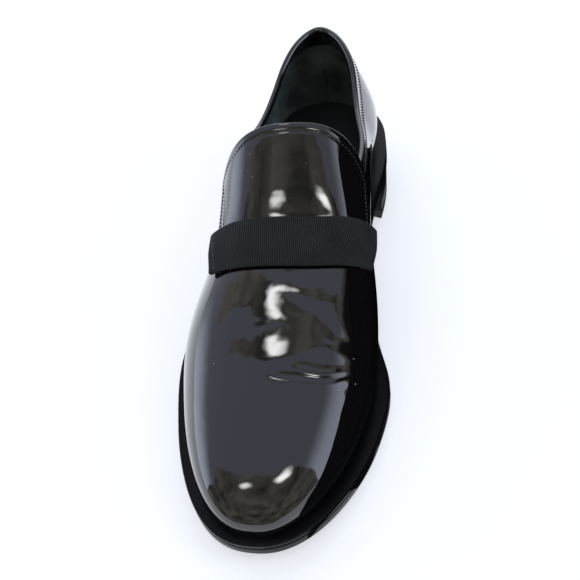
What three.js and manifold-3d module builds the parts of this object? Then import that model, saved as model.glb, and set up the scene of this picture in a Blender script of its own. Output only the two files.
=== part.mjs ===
// A man's right slip-on dress shoe in black patent leather: a plain vamp, a high stitched tongue, a wide
// ribbed silk band across the instep, a bound collar, a leather sole with a welt, and a stacked heel.
// Millimetres, +Z up. The toe points to -Y, the heel to +Y, and the inner (medial) side is +X.
import * as THREE from "three";
import { mergeVertices } from "three/addons/utils/BufferGeometryUtils.js";
import Module from "manifold-3d";

const wasm = await Module();
wasm.setup();

// Driving dimensions of the sole and heel
const UPPER_LENGTH = 292;
const BALL_WIDTH = 97;
const HEEL_WIDTH = 69;
const WELT_REACH = 4.2;
const OUTSOLE_THICKNESS = 4.6;
const WELT_THICKNESS = 2.6;
const WELT_WIDTH = 16;
const HEEL_HEIGHT = 22;
const HEEL_LENGTH = 80;
const TOP_PIECE_THICKNESS = 6;
const HEEL_TAPER = 0.9;
const BREAST_HOLLOW = 4;
const TOE_SPRING = 8;
const SOLE_BEVEL = 0.9;
const WELT_ROUND = 0.8;

// Driving dimensions of the upper
const INSTEP_DEPTH = 69;
const BACK_HEIGHT = 50.5;
const UPPER_WALL = 1.9;
const INSOLE_THICKNESS = 3;
const INSOLE_BEVEL = 1.2;
const TONGUE_WALL = 1.5;
const TONGUE_TOP = 115;
const TONGUE_END = 167;
const BAND_WIDTH = 25;
const BAND_WALL = 1;
const BAND_TOP = 156;
const BAND_DROP_BACK = 22.5;
const BAND_DROP_FRONT = 10;
const BAND_FOLD_WALL = 1;
const BAND_FOLD_STAND = 0.8;
const BAND_FOLD_WIDTH = 7;
const PIPING_WIDTH = 4;
const PIPING_HEIGHT = 3.4;
const PIPING_TUCK = 3.5;
const PIPING_TUCK_RUN = 42;
const PIPING_SHORT = 15;
const THROAT_RISE = 8;
const THROAT_TURN = 12;

// What touches keeps this clearance
const GAP = 0.3;

// Where the flat tread of the forefoot lies, as shares of the upper's length
const TREAD_START = 0.6;
const TREAD_END = 0.72;

// How round the ends are: where each rounding starts, as a share of the length, and its exponent
const TOE_ROUND_FROM = 0.8;
const TOE_EXPONENT = 2.3;
const HEEL_ROUND_TO = 0.125;
const HEEL_EXPONENT = 2.2;
const COLLAR_EXPONENT = 1.6;

// The plan of the form that the upper is pulled over, from the heel's back to the toe.
// at: share of UPPER_LENGTH; medial and lateral: widest half widths, as shares of the width named in "of";
// tuck: how far the bottom edge lies inside them, as a share of the same width;
// wide: height of the widest line over the bottom edge, as a share of the form's depth, or of INSTEP_DEPTH
// where that is less; weltIn and weltOut: how far the sole stands out beyond them, as shares of WELT_REACH.
const PLAN = [
  { at: 0.0, medial: 0.455, lateral: 0.515, of: HEEL_WIDTH, tuck: 0.05, wide: 0.2, weltIn: 0.4, weltOut: 0.3 },
  { at: 0.08, medial: 0.455, lateral: 0.51, of: HEEL_WIDTH, tuck: 0.05, wide: 0.2, weltIn: 0.75, weltOut: 0.3 },
  { at: 0.17, medial: 0.495, lateral: 0.505, of: HEEL_WIDTH, tuck: 0.05, wide: 0.21, weltIn: 1.0, weltOut: 0.3 },
  { at: 0.25, medial: 0.348, lateral: 0.37, of: BALL_WIDTH, tuck: 0.055, wide: 0.22, weltIn: 1.15, weltOut: 0.2 },
  { at: 0.33, medial: 0.365, lateral: 0.395, of: BALL_WIDTH, tuck: 0.08, wide: 0.24, weltIn: 0.1, weltOut: 0.0 },
  { at: 0.41, medial: 0.38, lateral: 0.427, of: BALL_WIDTH, tuck: 0.09, wide: 0.25, weltIn: -0.7, weltOut: 0.1 },
  { at: 0.48, medial: 0.402, lateral: 0.454, of: BALL_WIDTH, tuck: 0.08, wide: 0.26, weltIn: -0.9, weltOut: 0.55 },
  { at: 0.55, medial: 0.437, lateral: 0.497, of: BALL_WIDTH, tuck: 0.06, wide: 0.28, weltIn: -0.6, weltOut: 0.95 },
  { at: 0.62, medial: 0.463, lateral: 0.516, of: BALL_WIDTH, tuck: 0.04, wide: 0.3, weltIn: -0.15, weltOut: 1.2 },
  { at: 0.69, medial: 0.478, lateral: 0.507, of: BALL_WIDTH, tuck: 0.035, wide: 0.31, weltIn: 1.05, weltOut: 1.25 },
  { at: 0.76, medial: 0.469, lateral: 0.465, of: BALL_WIDTH, tuck: 0.035, wide: 0.32, weltIn: 1.3, weltOut: 1.2 },
  { at: 0.83, medial: 0.433, lateral: 0.407, of: BALL_WIDTH, tuck: 0.035, wide: 0.32, weltIn: 1.2, weltOut: 1.1 },
  { at: 0.9, medial: 0.395, lateral: 0.355, of: BALL_WIDTH, tuck: 0.035, wide: 0.32, weltIn: 1.0, weltOut: 1.0 },
  { at: 1.0, medial: 0.335, lateral: 0.295, of: BALL_WIDTH, tuck: 0.035, wide: 0.32, weltIn: 1.0, weltOut: 1.0 },
];

// The closed part of the form over the instep and forefoot. at: share of UPPER_LENGTH; depth: crest over
// the bottom edge, share of INSTEP_DEPTH; shift: the crest's offset to the inner side, share of BALL_WIDTH;
// fullIn and fullOut: exponents of the section's curve on each side; leanIn and leanOut: how far each wall
// leans in for each millimetre that it rises over the widest line.
const RIDGE = [
  { at: 0.0, depth: 1.3, shift: 0.0, fullIn: 3.0, fullOut: 3.0, leanIn: 0.1, leanOut: 0.2 },
  { at: 0.27, depth: 1.12, shift: 0.02, fullIn: 3.0, fullOut: 2.9, leanIn: 0.12, leanOut: 0.2 },
  { at: 0.34, depth: 1.07, shift: 0.035, fullIn: 3.0, fullOut: 3.1, leanIn: 0.12, leanOut: 0.18 },
  { at: 0.41, depth: 0.985, shift: 0.055, fullIn: 3.1, fullOut: 3.4, leanIn: 0.1, leanOut: 0.17 },
  { at: 0.48, depth: 0.89, shift: 0.075, fullIn: 3.5, fullOut: 3.6, leanIn: 0.06, leanOut: 0.29 },
  { at: 0.55, depth: 0.805, shift: 0.095, fullIn: 3.7, fullOut: 3.5, leanIn: 0.05, leanOut: 0.41 },
  { at: 0.62, depth: 0.73, shift: 0.12, fullIn: 3.4, fullOut: 3.2, leanIn: 0.06, leanOut: 0.4 },
  { at: 0.69, depth: 0.65, shift: 0.135, fullIn: 3.0, fullOut: 3.0, leanIn: 0.08, leanOut: 0.36 },
  { at: 0.76, depth: 0.565, shift: 0.13, fullIn: 2.8, fullOut: 2.7, leanIn: 0.08, leanOut: 0.3 },
  { at: 0.83, depth: 0.48, shift: 0.105, fullIn: 2.7, fullOut: 2.6, leanIn: 0.1, leanOut: 0.26 },
  { at: 0.9, depth: 0.4, shift: 0.075, fullIn: 2.6, fullOut: 2.5, leanIn: 0.1, leanOut: 0.2 },
  { at: 1.0, depth: 0.33, shift: 0.03, fullIn: 2.5, fullOut: 2.5, leanIn: 0.1, leanOut: 0.12 },
];

// The collar's edge in the side view. at: share of UPPER_LENGTH; height: over the heel seat, share of
// BACK_HEIGHT; half: half width of the wall there, share of HEEL_WIDTH.
const COLLAR = [
  { at: 0.0, height: 1.0, half: 0.3 },
  { at: 0.05, height: 0.955, half: 0.305 },
  { at: 0.12, height: 0.8, half: 0.333 },
  { at: 0.2, height: 0.665, half: 0.388 },
  { at: 0.28, height: 0.615, half: 0.432 },
  { at: 0.36, height: 0.63, half: 0.47 },
  { at: 0.44, height: 0.66, half: 0.51 },
  { at: 0.52, height: 0.7, half: 0.55 },
];
// How far the collar's middle lies to the outer side
const COLLAR_SHIFT = 0.4;
// From here to here, as shares of the length, the open quarters turn into the closed instep
const QUARTER_END = 0.22;
const INSTEP_START = 0.39;

// How far the upper's back leans in at its bottom, bulge and collar, in shares of HEEL_WIDTH
const BACK_CURVE = [
  { up: 0.0, lean: 0.035 },
  { up: 0.45, lean: 0.0 },
  { up: 0.8, lean: 0.02 },
  { up: 1.0, lean: 0.04 },
];

// The tongue's edge in the side view. along: share of the way from TONGUE_TOP to TONGUE_END;
// down: share of the crest's depth at TONGUE_TOP
const TONGUE_EDGE = [
  { along: 0.0, down: 0.0 },
  { along: 0.04, down: 0.1 },
  { along: 0.12, down: 0.24 },
  { along: 0.22, down: 0.38 },
  { along: 0.36, down: 0.53 },
  { along: 0.56, down: 0.66 },
  { along: 1.0, down: 0.76 },
];

const mix = (a, b, t) => a + (b - a) * t;
const clamp01 = (t) => Math.min(1, Math.max(0, t));
const smooth = (t) => clamp01(t) ** 2 * (3 - 2 * clamp01(t));

// A natural cubic spline through a table's rows, from its key column to its value column.
function spline(rows, key, value) {
  const x = rows.map((r) => r[key]);
  const y = rows.map(value);
  const n = x.length;
  const second = new Array(n).fill(0);
  const work = new Array(n).fill(0);
  for (let i = 1; i < n - 1; i++) {
    const share = (x[i] - x[i - 1]) / (x[i + 1] - x[i - 1]);
    const p = share * second[i - 1] + 2;
    second[i] = (share - 1) / p;
    const bend = (y[i + 1] - y[i]) / (x[i + 1] - x[i]) - (y[i] - y[i - 1]) / (x[i] - x[i - 1]);
    work[i] = ((6 * bend) / (x[i + 1] - x[i - 1]) - share * work[i - 1]) / p;
  }
  for (let i = n - 2; i >= 0; i--) second[i] = second[i] * second[i + 1] + work[i];
  return (at) => {
    const t = Math.min(x[n - 1], Math.max(x[0], at));
    let i = 1;
    while (i < n - 1 && t > x[i]) i++;
    const h = x[i] - x[i - 1];
    const a = (x[i] - t) / h;
    const b = 1 - a;
    const bow = ((a ** 3 - a) * second[i - 1] + (b ** 3 - b) * second[i]) * (h * h) / 6;
    return a * y[i - 1] + b * y[i] + bow;
  };
}

const plan = {
  medial: spline(PLAN, "at", (r) => r.medial * r.of),
  lateral: spline(PLAN, "at", (r) => r.lateral * r.of),
  tuck: spline(PLAN, "at", (r) => r.tuck * r.of),
  wide: spline(PLAN, "at", (r) => r.wide),
  weltIn: spline(PLAN, "at", (r) => r.weltIn * WELT_REACH),
  weltOut: spline(PLAN, "at", (r) => r.weltOut * WELT_REACH),
};
const ridge = {
  depth: spline(RIDGE, "at", (r) => r.depth * INSTEP_DEPTH),
  shift: spline(RIDGE, "at", (r) => r.shift * BALL_WIDTH),
  fullIn: spline(RIDGE, "at", (r) => r.fullIn),
  fullOut: spline(RIDGE, "at", (r) => r.fullOut),
  leanIn: spline(RIDGE, "at", (r) => r.leanIn),
  leanOut: spline(RIDGE, "at", (r) => r.leanOut),
};
const collarHeight = spline(COLLAR, "at", (r) => r.height * BACK_HEIGHT);
const collarHalf = spline(COLLAR, "at", (r) => r.half * HEEL_WIDTH);
const backLean = spline(BACK_CURVE, "up", (r) => r.lean * HEEL_WIDTH);

// The rounding of a plan outline at both ends: 1 along the middle and 0 at the very ends.
function endRound(v, heelExponent) {
  if (v < HEEL_ROUND_TO) {
    return (1 - (1 - v / HEEL_ROUND_TO) ** heelExponent) ** (1 / heelExponent);
  }
  if (v > TOE_ROUND_FROM) {
    const t = clamp01((v - TOE_ROUND_FROM) / (1 - TOE_ROUND_FROM));
    return (1 - t ** TOE_EXPONENT) ** (1 / TOE_EXPONENT);
  }
  return 1;
}
const toeRound = (v) => (v > TOE_ROUND_FROM ? endRound(v, HEEL_EXPONENT) : 1);

// The underside of the outsole: the heel's height at the back, an arch, a flat tread and the toe spring.
const heelShare = HEEL_LENGTH / UPPER_LENGTH;
function underside(v) {
  if (v > TREAD_END) return TOE_SPRING * ((v - TREAD_END) / (1 - TREAD_END)) ** 2;
  return HEEL_HEIGHT * (1 - smooth((v - heelShare) / (TREAD_START - heelShare)));
}
const weltTop = (v) => underside(v) + OUTSOLE_THICKNESS + GAP + WELT_THICKNESS;
const seat = (v) => weltTop(v) + GAP;
const HEEL_SEAT = seat(0);
const collarTop = (v) => HEEL_SEAT + collarHeight(v);

// The axis runs back along +Y, with the heel's back of the upper at s = 0.
const place = (x, s, z) => [x, UPPER_LENGTH / 2 - s, z];

// A point on the upper's form. v: share of the length; tau: 0 at the bottom edge, 1 at the crest;
// side: 1 inner, -1 outer; inset: how far inside the outer face.
const WIDEST_TAU = 0.26;
const QUARTER_MARGIN = 9;
const QUARTER_BOW = 1.35;
function formPoint(v, tau, side, inset) {
  const inner = side > 0;
  const half = (inner ? plan.medial(v) : plan.lateral(v)) - inset;
  const end = toeRound(v);
  const run = inset + v * (UPPER_LENGTH - 2 * inset);
  const base = seat(run / UPPER_LENGTH);
  const depth = (ridge.depth(v) - inset) * end;
  const widest = plan.wide(v) * Math.min(ridge.depth(v), INSTEP_DEPTH) * end;
  const rise = clamp01((tau - WIDEST_TAU) / (1 - WIDEST_TAU));
  const under = clamp01(tau / WIDEST_TAU);
  const foot = half - plan.tuck(v) * (1 - under) ** 2;
  // The open quarter: its wall leans in from the widest line to the collar.
  const rim = collarTop(v) - base;
  const up = mix(widest * under, rim + QUARTER_MARGIN, rise);
  const reach = Math.max(0, (up - widest) / (rim - widest));
  const atCollar = collarHalf(v) - side * COLLAR_SHIFT - inset;
  const open = { x: foot + (atCollar - half) * reach ** QUARTER_BOW, z: up };
  // The closed instep: each wall leans in and curves over to the crest.
  const angle = (rise * Math.PI) / 2;
  const power = 2 / (inner ? ridge.fullIn(v) : ridge.fullOut(v));
  const lean = inner ? ridge.leanIn(v) : ridge.leanOut(v);
  const crest = side * ridge.shift(v);
  const climb = (depth - widest) * Math.sin(angle) ** power;
  const across = (foot - crest - lean * climb) * Math.max(0, Math.cos(angle)) ** power;
  const closed = smooth((v - QUARTER_END) / (INSTEP_START - QUARTER_END));
  const x = mix(open.x, crest + across, closed);
  const z = mix(open.z, widest * under + climb, closed);
  // The plan outline closes at the heel and the toe, around the middle of the two sides.
  const centre = (side * (plan.medial(v) - plan.lateral(v))) / 2;
  const round = endRound(v, mix(HEEL_EXPONENT, COLLAR_EXPONENT, rise));
  const backward = backLean(clamp01(z / BACK_HEIGHT)) * (1 - smooth(v / (2 * HEEL_ROUND_TO)));
  return {
    x: side * (centre + (x - centre) * round),
    s: run + backward,
    z: base + z,
  };
}

// Shares of the length at which sections are taken. END_CROWDING: 0 evenly, 1 much closer at both ends.
const END_CROWDING = 0.85;
function stations(count) {
  return Array.from({ length: count + 1 }, (_, i) => {
    const t = i / count;
    return mix(t, (1 - Math.cos(Math.PI * t)) / 2, END_CROWDING);
  });
}

// Shares from just over 0 to an end, closer together at the heel's round back.
function bunched(count, end) {
  return Array.from({ length: count }, (_, i) => end * (1 - Math.cos(((i + 1) / count) * (Math.PI / 2))));
}

// A closed solid of manifold-3d from loose triangles, turned to face outwards.
function solid(positions, triangles) {
  const geometry = new THREE.BufferGeometry();
  geometry.setAttribute("position", new THREE.Float32BufferAttribute(positions.flat(), 3));
  geometry.setIndex(triangles.flat());
  return solidOf(geometry);
}
const SAME_POINT = 1e-4;
function solidOf(geometry) {
  const bare = new THREE.BufferGeometry();
  bare.setAttribute("position", geometry.getAttribute("position").clone());
  if (geometry.index) bare.setIndex(geometry.index.clone());
  const merged = mergeVertices(bare, SAME_POINT);
  const index = merged.index.array;
  const kept = [];
  for (let i = 0; i < index.length; i += 3) {
    const [a, b, c] = [index[i], index[i + 1], index[i + 2]];
    if (a !== b && b !== c && a !== c) kept.push(a, b, c);
  }
  const vertProperties = merged.getAttribute("position").array;
  const make = (order) => {
    const triVerts = Uint32Array.from(order);
    return new wasm.Manifold(new wasm.Mesh({ numProp: 3, vertProperties, triVerts }));
  };
  const made = make(kept);
  if (made.volume() > 0) return made;
  for (let i = 0; i < kept.length; i += 3) [kept[i + 1], kept[i + 2]] = [kept[i + 2], kept[i + 1]];
  return make(kept);
}

// Whether a section has shrunk to a line, as it does at the very ends of the form.
function isLine(section) {
  const box = new THREE.Box3().setFromPoints(section.map((p) => new THREE.Vector3(...p)));
  return box.getSize(new THREE.Vector3()).toArray().filter((side) => side > SAME_POINT).length < 2;
}

// A closed solid through rings of points, each ring one section. Open ends are capped with a fan.
function loft(rings, ring = false) {
  const positions = rings.flat();
  const size = rings[0].length;
  const triangles = [];
  const spans = ring ? rings.length : rings.length - 1;
  for (let i = 0; i < spans; i++) {
    const next = (i + 1) % rings.length;
    for (let j = 0; j < size; j++) {
      const k = (j + 1) % size;
      const [a, b, c, d] = [i * size + j, i * size + k, next * size + k, next * size + j];
      triangles.push([a, b, c], [a, c, d]);
    }
  }
  const capped = ring ? [] : [{ section: rings[0], first: 0 }, { section: rings.at(-1), first: spans * size }];
  capped.filter(({ section }) => !isLine(section)).forEach(({ section, first }) => {
    const hub = positions.length;
    positions.push([0, 1, 2].map((i) => section.reduce((sum, p) => sum + p[i], 0) / size));
    for (let j = 0; j < size; j++) {
      const k = (j + 1) % size;
      triangles.push(first > 0 ? [hub, first + j, first + k] : [hub, first + k, first + j]);
    }
  });
  return solid(positions, triangles);
}

// The side view's region, in (s, z), as a prism that runs across the whole shoe.
function sidePrism(points) {
  const reach = BALL_WIDTH;
  const shape = new THREE.Shape(points.map(([s, z]) => new THREE.Vector2(s, z)));
  const geometry = new THREE.ExtrudeGeometry(shape, { depth: 2 * reach, bevelEnabled: false });
  const at = geometry.getAttribute("position");
  for (let i = 0; i < at.count; i++) {
    at.setXYZ(i, ...place(at.getZ(i) - reach, at.getX(i), at.getY(i)));
  }
  return solidOf(geometry);
}

// The whole form of the upper as a filled body, at an inset. below: how far it reaches under its seat;
// flare: what is added to the inset at a share of the length.
const FORM_STATIONS = 48;
const FORM_STEPS = 14;
function form(inset, below, flare = () => 0) {
  const rings = stations(FORM_STATIONS).map((v) => {
    const half = (side) => {
      const points = [];
      for (let j = 0; j <= FORM_STEPS; j++) {
        const p = formPoint(v, j / FORM_STEPS, side, inset + flare(v));
        if (j === 0) points.push(place(p.x, p.s, p.z - below));
        if (j > 0 || below > 0) points.push(place(p.x, p.s, p.z));
      }
      return points;
    };
    return [...half(1), ...half(-1).reverse()];
  });
  return loft(rings);
}

// The upper: vamp and quarters in one wall, open at the collar, the throat and underneath.
const SEAT_DROP = 4;
const throatAt = BAND_TOP - GAP;
function collarRegion() {
  const top = HEEL_SEAT + 3 * INSTEP_DEPTH;
  const steps = 32;
  const edge = [];
  for (let i = 0; i <= steps; i++) {
    const s = (throatAt * i) / steps;
    const turn = clamp01(1 - (throatAt - s) / THROAT_TURN) ** 2;
    edge.push([s, collarTop(s / UPPER_LENGTH) + THROAT_RISE * turn]);
  }
  return sidePrism([[-HEEL_WIDTH, top], [-HEEL_WIDTH, edge[0][1]], ...edge, [throatAt, top]]);
}
const outerForm = form(0, 0);
const upper = outerForm.subtract(form(UPPER_WALL, SEAT_DROP)).subtract(collarRegion());

// The tongue: a flap over the instep whose front end lies under the band.
function tongueRegion() {
  const crest = seat(TONGUE_TOP / UPPER_LENGTH) + ridge.depth(TONGUE_TOP / UPPER_LENGTH);
  const down = spline(TONGUE_EDGE, "along", (r) => r.down * ridge.depth(TONGUE_TOP / UPPER_LENGTH));
  const steps = 22;
  const crowding = 1.8;
  const edge = [];
  for (let i = 0; i <= steps; i++) {
    const along = (i / steps) ** crowding;
    edge.push([mix(TONGUE_TOP, TONGUE_END, along), crest - down(along)]);
  }
  const top = crest + INSTEP_DEPTH;
  return sidePrism([[TONGUE_TOP, top], ...edge, [TONGUE_END, top]]);
}
const tongueInside = -GAP;
const tongueOutside = tongueInside - TONGUE_WALL;
const tongue = form(tongueOutside, 0).subtract(form(tongueInside, SEAT_DROP)).intersect(tongueRegion());

// The band: one wall that wraps the instep square to its slope, and a fold at each end.
const bandInside = tongueOutside - GAP;
const bandOutside = bandInside - BAND_WALL;
function bandRegion(above, below) {
  const vTop = BAND_TOP / UPPER_LENGTH;
  const vNext = (BAND_TOP + BAND_WIDTH) / UPPER_LENGTH;
  const crest = (v) => seat(v) + ridge.depth(v);
  const along = new THREE.Vector2(BAND_WIDTH, crest(vNext) - crest(vTop)).normalize();
  const down = new THREE.Vector2(along.y, -along.x);
  const corner = new THREE.Vector2(BAND_TOP, crest(vTop));
  const at = (run, drop) => corner.clone().addScaledVector(along, run).addScaledVector(down, drop).toArray();
  const [back, front] = [0, BAND_WIDTH];
  return sidePrism([at(back, above.back), at(front, above.front), at(front, below.front), at(back, below.back)]);
}
const bandEnd = { back: BAND_DROP_BACK, front: BAND_DROP_FRONT };
const overCrest = { back: -BAND_WIDTH, front: -BAND_WIDTH };
const band = form(bandOutside, 0)
  .subtract(form(bandInside, SEAT_DROP))
  .intersect(bandRegion(overCrest, bandEnd));

// The folded end of the band on each side, a second layer sewn over its end. It stands off at its back.
const foldInside = bandOutside - GAP;
const foldOutside = foldInside - BAND_FOLD_WALL;
const foldStart = { back: BAND_DROP_BACK - BAND_FOLD_WIDTH, front: BAND_DROP_FRONT - BAND_FOLD_WIDTH };
const foldFlare = (v) => -BAND_FOLD_STAND * clamp01((BAND_TOP + BAND_WIDTH - v * UPPER_LENGTH) / BAND_WIDTH);
const folds = form(foldOutside, 0, foldFlare)
  .subtract(form(foldInside, SEAT_DROP))
  .intersect(bandRegion(foldStart, bandEnd))
  .decompose();

// The piping that binds the collar's edge, an oval bead along the top of the wall.
function piping() {
  // The point over the wall where its middle reaches the collar's edge, tucked in towards the tongue.
  const find = (v, side) => {
    const tucked = smooth((v * UPPER_LENGTH - TONGUE_TOP + PIPING_TUCK_RUN) / PIPING_TUCK_RUN);
    const middle = mix(UPPER_WALL / 2, PIPING_TUCK, tucked);
    let low = 0;
    let high = 1;
    for (let i = 0; i < 30; i++) {
      const t = (low + high) / 2;
      const p = formPoint(v, t, side, middle);
      if (p.z < collarTop(p.s / UPPER_LENGTH)) low = t;
      else high = t;
    }
    const p = formPoint(v, low, side, middle);
    return new THREE.Vector3(...place(p.x, p.s, collarTop(p.s / UPPER_LENGTH) + GAP + PIPING_HEIGHT / 2));
  };
  const steps = 24;
  const end = (throatAt - PIPING_SHORT) / UPPER_LENGTH;
  const shares = bunched(steps, end);
  const inner = shares.toReversed().map((v) => find(v, 1));
  const outer = shares.map((v) => find(v, -1));
  const path = [...inner, find(0, 1), ...outer];
  const around = 10;
  const rings = path.map((p, i) => {
    const ahead = path[Math.min(i + 1, path.length - 1)].clone().sub(path[Math.max(i - 1, 0)]).normalize();
    const across = new THREE.Vector3().crossVectors(ahead, new THREE.Vector3(0, 0, 1)).normalize();
    const up = new THREE.Vector3().crossVectors(across, ahead);
    return Array.from({ length: around }, (_, j) => {
      const a = (j / around) * 2 * Math.PI;
      return p.clone()
        .addScaledVector(across, Math.cos(a) * PIPING_WIDTH / 2)
        .addScaledVector(up, Math.sin(a) * PIPING_HEIGHT / 2)
        .toArray();
    });
  });
  return loft(rings);
}

// A point of the sole's plan outline. v: share of the length; side: 1 inner, -1 outer; inset: how far
// inside the edge; rise: height over the sole's underside there.
function solePoint(v, side, inset, rise) {
  const half = (side > 0 ? plan.medial(v) + plan.weltIn(v) : plan.lateral(v) + plan.weltOut(v)) - inset;
  const centre = (side * (plan.medial(v) - plan.lateral(v))) / 2;
  const overhang = mix(plan.weltIn(0), plan.weltIn(1), v) - inset;
  const s = v * UPPER_LENGTH + overhang * (2 * v - 1);
  const x = side * (centre + (half - centre) * endRound(v, HEEL_EXPONENT));
  return place(x, s, underside(s / UPPER_LENGTH) + rise);
}

// The outsole: its edge is bevelled, and it follows the arch and the toe spring.
const SOLE_STATIONS = 48;
function outsole() {
  const edge = [
    { inset: SOLE_BEVEL, rise: 0 },
    { inset: 0, rise: SOLE_BEVEL },
    { inset: 0, rise: OUTSOLE_THICKNESS - SOLE_BEVEL / 2 },
    { inset: SOLE_BEVEL / 2, rise: OUTSOLE_THICKNESS },
  ];
  const rings = stations(SOLE_STATIONS).map((v) => [
    ...edge.map((e) => solePoint(v, 1, e.inset, e.rise)),
    ...edge.toReversed().map((e) => solePoint(v, -1, e.inset, e.rise)),
  ]);
  return loft(rings);
}

// The welt: a strip all round the sole's edge, under the upper's bottom edge.
function welt() {
  const bottom = OUTSOLE_THICKNESS + GAP;
  const top = bottom + WELT_THICKNESS;
  const section = [
    { inset: WELT_ROUND / 2, rise: bottom },
    { inset: 0, rise: bottom + WELT_ROUND },
    { inset: 0, rise: top - WELT_ROUND },
    { inset: WELT_ROUND, rise: top },
    { inset: WELT_WIDTH, rise: top },
    { inset: WELT_WIDTH, rise: bottom },
  ];
  const shares = stations(SOLE_STATIONS);
  const ringAt = (v, side) => section.map((e) => solePoint(v, side, e.inset, e.rise));
  const back = shares.slice(1, -1).reverse();
  return loft([...shares.map((v) => ringAt(v, 1)), ...back.map((v) => ringAt(v, -1))], true);
}

// The insole: a board inside the upper, on the welt's inner rim, with a bevelled upper edge.
function insole() {
  const rings = stations(FORM_STATIONS).map((v) => {
    const corner = (side, inset, rise) => {
      const p = formPoint(v, 0, side, UPPER_WALL + GAP + inset);
      return place(p.x, p.s, seat(p.s / UPPER_LENGTH) + rise);
    };
    return [
      corner(1, 0, 0),
      corner(1, INSOLE_BEVEL, INSOLE_THICKNESS),
      corner(-1, INSOLE_BEVEL, INSOLE_THICKNESS),
      corner(-1, 0, 0),
    ];
  });
  return loft(rings);
}

// One slab of the heel, between two heights, that tapers downwards and has a hollow front.
function heelSlab(low, high) {
  const steps = 16;
  const front = 8;
  const shares = bunched(steps, heelShare);
  const rings = [low, high].map((z) => {
    const inset = SOLE_BEVEL / 2 + HEEL_TAPER * (1 - z / HEEL_HEIGHT);
    const edge = (v, side) => solePoint(v, side, inset, 0).toSpliced(2, 1, z);
    const inner = shares.toReversed().map((v) => edge(v, 1));
    const outer = shares.map((v) => edge(v, -1));
    const [left, right] = [outer.at(-1), inner[0]];
    const breast = Array.from({ length: front - 1 }, (_, i) => {
      const t = (i + 1) / front;
      const hollow = BREAST_HOLLOW * (1 - (2 * t - 1) ** 2);
      return [mix(left[0], right[0], t), left[1] + hollow, z];
    });
    return [...inner, edge(0, 1), ...outer, ...breast];
  });
  return loft(rings);
}

// The finishes, with the photograph's colours.
const finish = (color, roughness) => new THREE.MeshStandardMaterial({ color, roughness, metalness: 0 });
const patent = finish(0x0b0b0d, 0.06);
const patentEdge = finish(0x101012, 0.12);
const ribbon = finish(0x16181a, 0.85);
const lining = finish(0x141516, 0.7);
const soleEdge = finish(0x0d0d0e, 0.35);
const rubber = finish(0x121212, 0.8);

const shoe = new THREE.Group();
function add(name, made, material) {
  const mesh = made.getMesh();
  const geometry = new THREE.BufferGeometry();
  geometry.setAttribute("position", new THREE.BufferAttribute(Float32Array.from(mesh.vertProperties), 3));
  geometry.setIndex(new THREE.BufferAttribute(mesh.triVerts, 1));
  geometry.computeVertexNormals();
  const part = new THREE.Mesh(geometry, material);
  part.name = name;
  shoe.add(part);
}

add("upper", upper, patent);
add("tongue", tongue, patent);
add("instep_band", band, ribbon);
folds.forEach((fold) => {
  const box = fold.boundingBox();
  add(box.min[0] > 0 ? "band_fold_inner" : "band_fold_outer", fold, ribbon);
});
add("collar_piping", piping(), patentEdge);
add("insole", insole(), lining);
add("welt", welt(), soleEdge);
add("outsole", outsole(), soleEdge);
add("heel_stack", heelSlab(TOP_PIECE_THICKNESS, HEEL_HEIGHT - GAP), soleEdge);
add("heel_top_piece", heelSlab(0, TOP_PIECE_THICKNESS - GAP), rubber);

// The origin is under the middle of the whole shoe, on the floor.
const bounds = new THREE.Box3().setFromObject(shoe);
const middle = bounds.getCenter(new THREE.Vector3());
shoe.position.set(-middle.x, -middle.y, -bounds.min.z);

export default shoe;
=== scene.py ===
"""A man's right slip-on shoe in black patent leather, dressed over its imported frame.

Metres, in the frame of the solids: the toe points to -Y, the heel to +Y, and the inner side is +X.
"""
import math

import bmesh
import bpy
import numpy as np
from mathutils import Matrix, Vector


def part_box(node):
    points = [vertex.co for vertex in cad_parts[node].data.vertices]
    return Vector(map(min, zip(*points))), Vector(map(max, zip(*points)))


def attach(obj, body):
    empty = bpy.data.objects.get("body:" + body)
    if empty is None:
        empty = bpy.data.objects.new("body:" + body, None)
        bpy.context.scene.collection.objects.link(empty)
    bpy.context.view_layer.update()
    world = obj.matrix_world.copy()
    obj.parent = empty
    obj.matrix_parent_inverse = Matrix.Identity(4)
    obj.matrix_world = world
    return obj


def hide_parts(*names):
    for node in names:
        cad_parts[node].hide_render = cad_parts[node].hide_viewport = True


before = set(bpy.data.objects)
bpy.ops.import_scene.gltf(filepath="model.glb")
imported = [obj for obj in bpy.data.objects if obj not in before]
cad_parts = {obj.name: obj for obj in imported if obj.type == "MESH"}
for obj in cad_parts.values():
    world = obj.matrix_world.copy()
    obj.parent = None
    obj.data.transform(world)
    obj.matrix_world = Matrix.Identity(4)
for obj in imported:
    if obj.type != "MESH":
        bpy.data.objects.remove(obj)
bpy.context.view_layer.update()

# The last
# Upper, tongue and band are all pulled over the last, the form of a foot that the shoe is made on. It is
# worked out here from its length, ball, heel and instep, as sections from the heel's back to the toe.
LAST_LENGTH = 0.292
BALL_WIDTH = 0.097
HEEL_WIDTH = 0.069
INSTEP_DEPTH = 0.069
BACK_HEIGHT = 0.0505
HEEL_HEIGHT = 0.022
HEEL_LENGTH = 0.080
TOE_SPRING = 0.008
TREAD_START = 0.60
TREAD_END = 0.72
OUTSOLE_THICKNESS = 0.0046
WELT_THICKNESS = 0.0026
WELT_REACH = 0.0042
GAP = 0.0003
TOE_ROUND_FROM = 0.8
TOE_EXPONENT = 2.3
HEEL_ROUND_TO = 0.125
HEEL_EXPONENT = 2.2
COLLAR_EXPONENT = 1.6
WIDEST_TAU = 0.26
QUARTER_MARGIN = 0.009
QUARTER_BOW = 1.35
COLLAR_SHIFT = 0.0004
QUARTER_END = 0.22
INSTEP_START = 0.39

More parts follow.
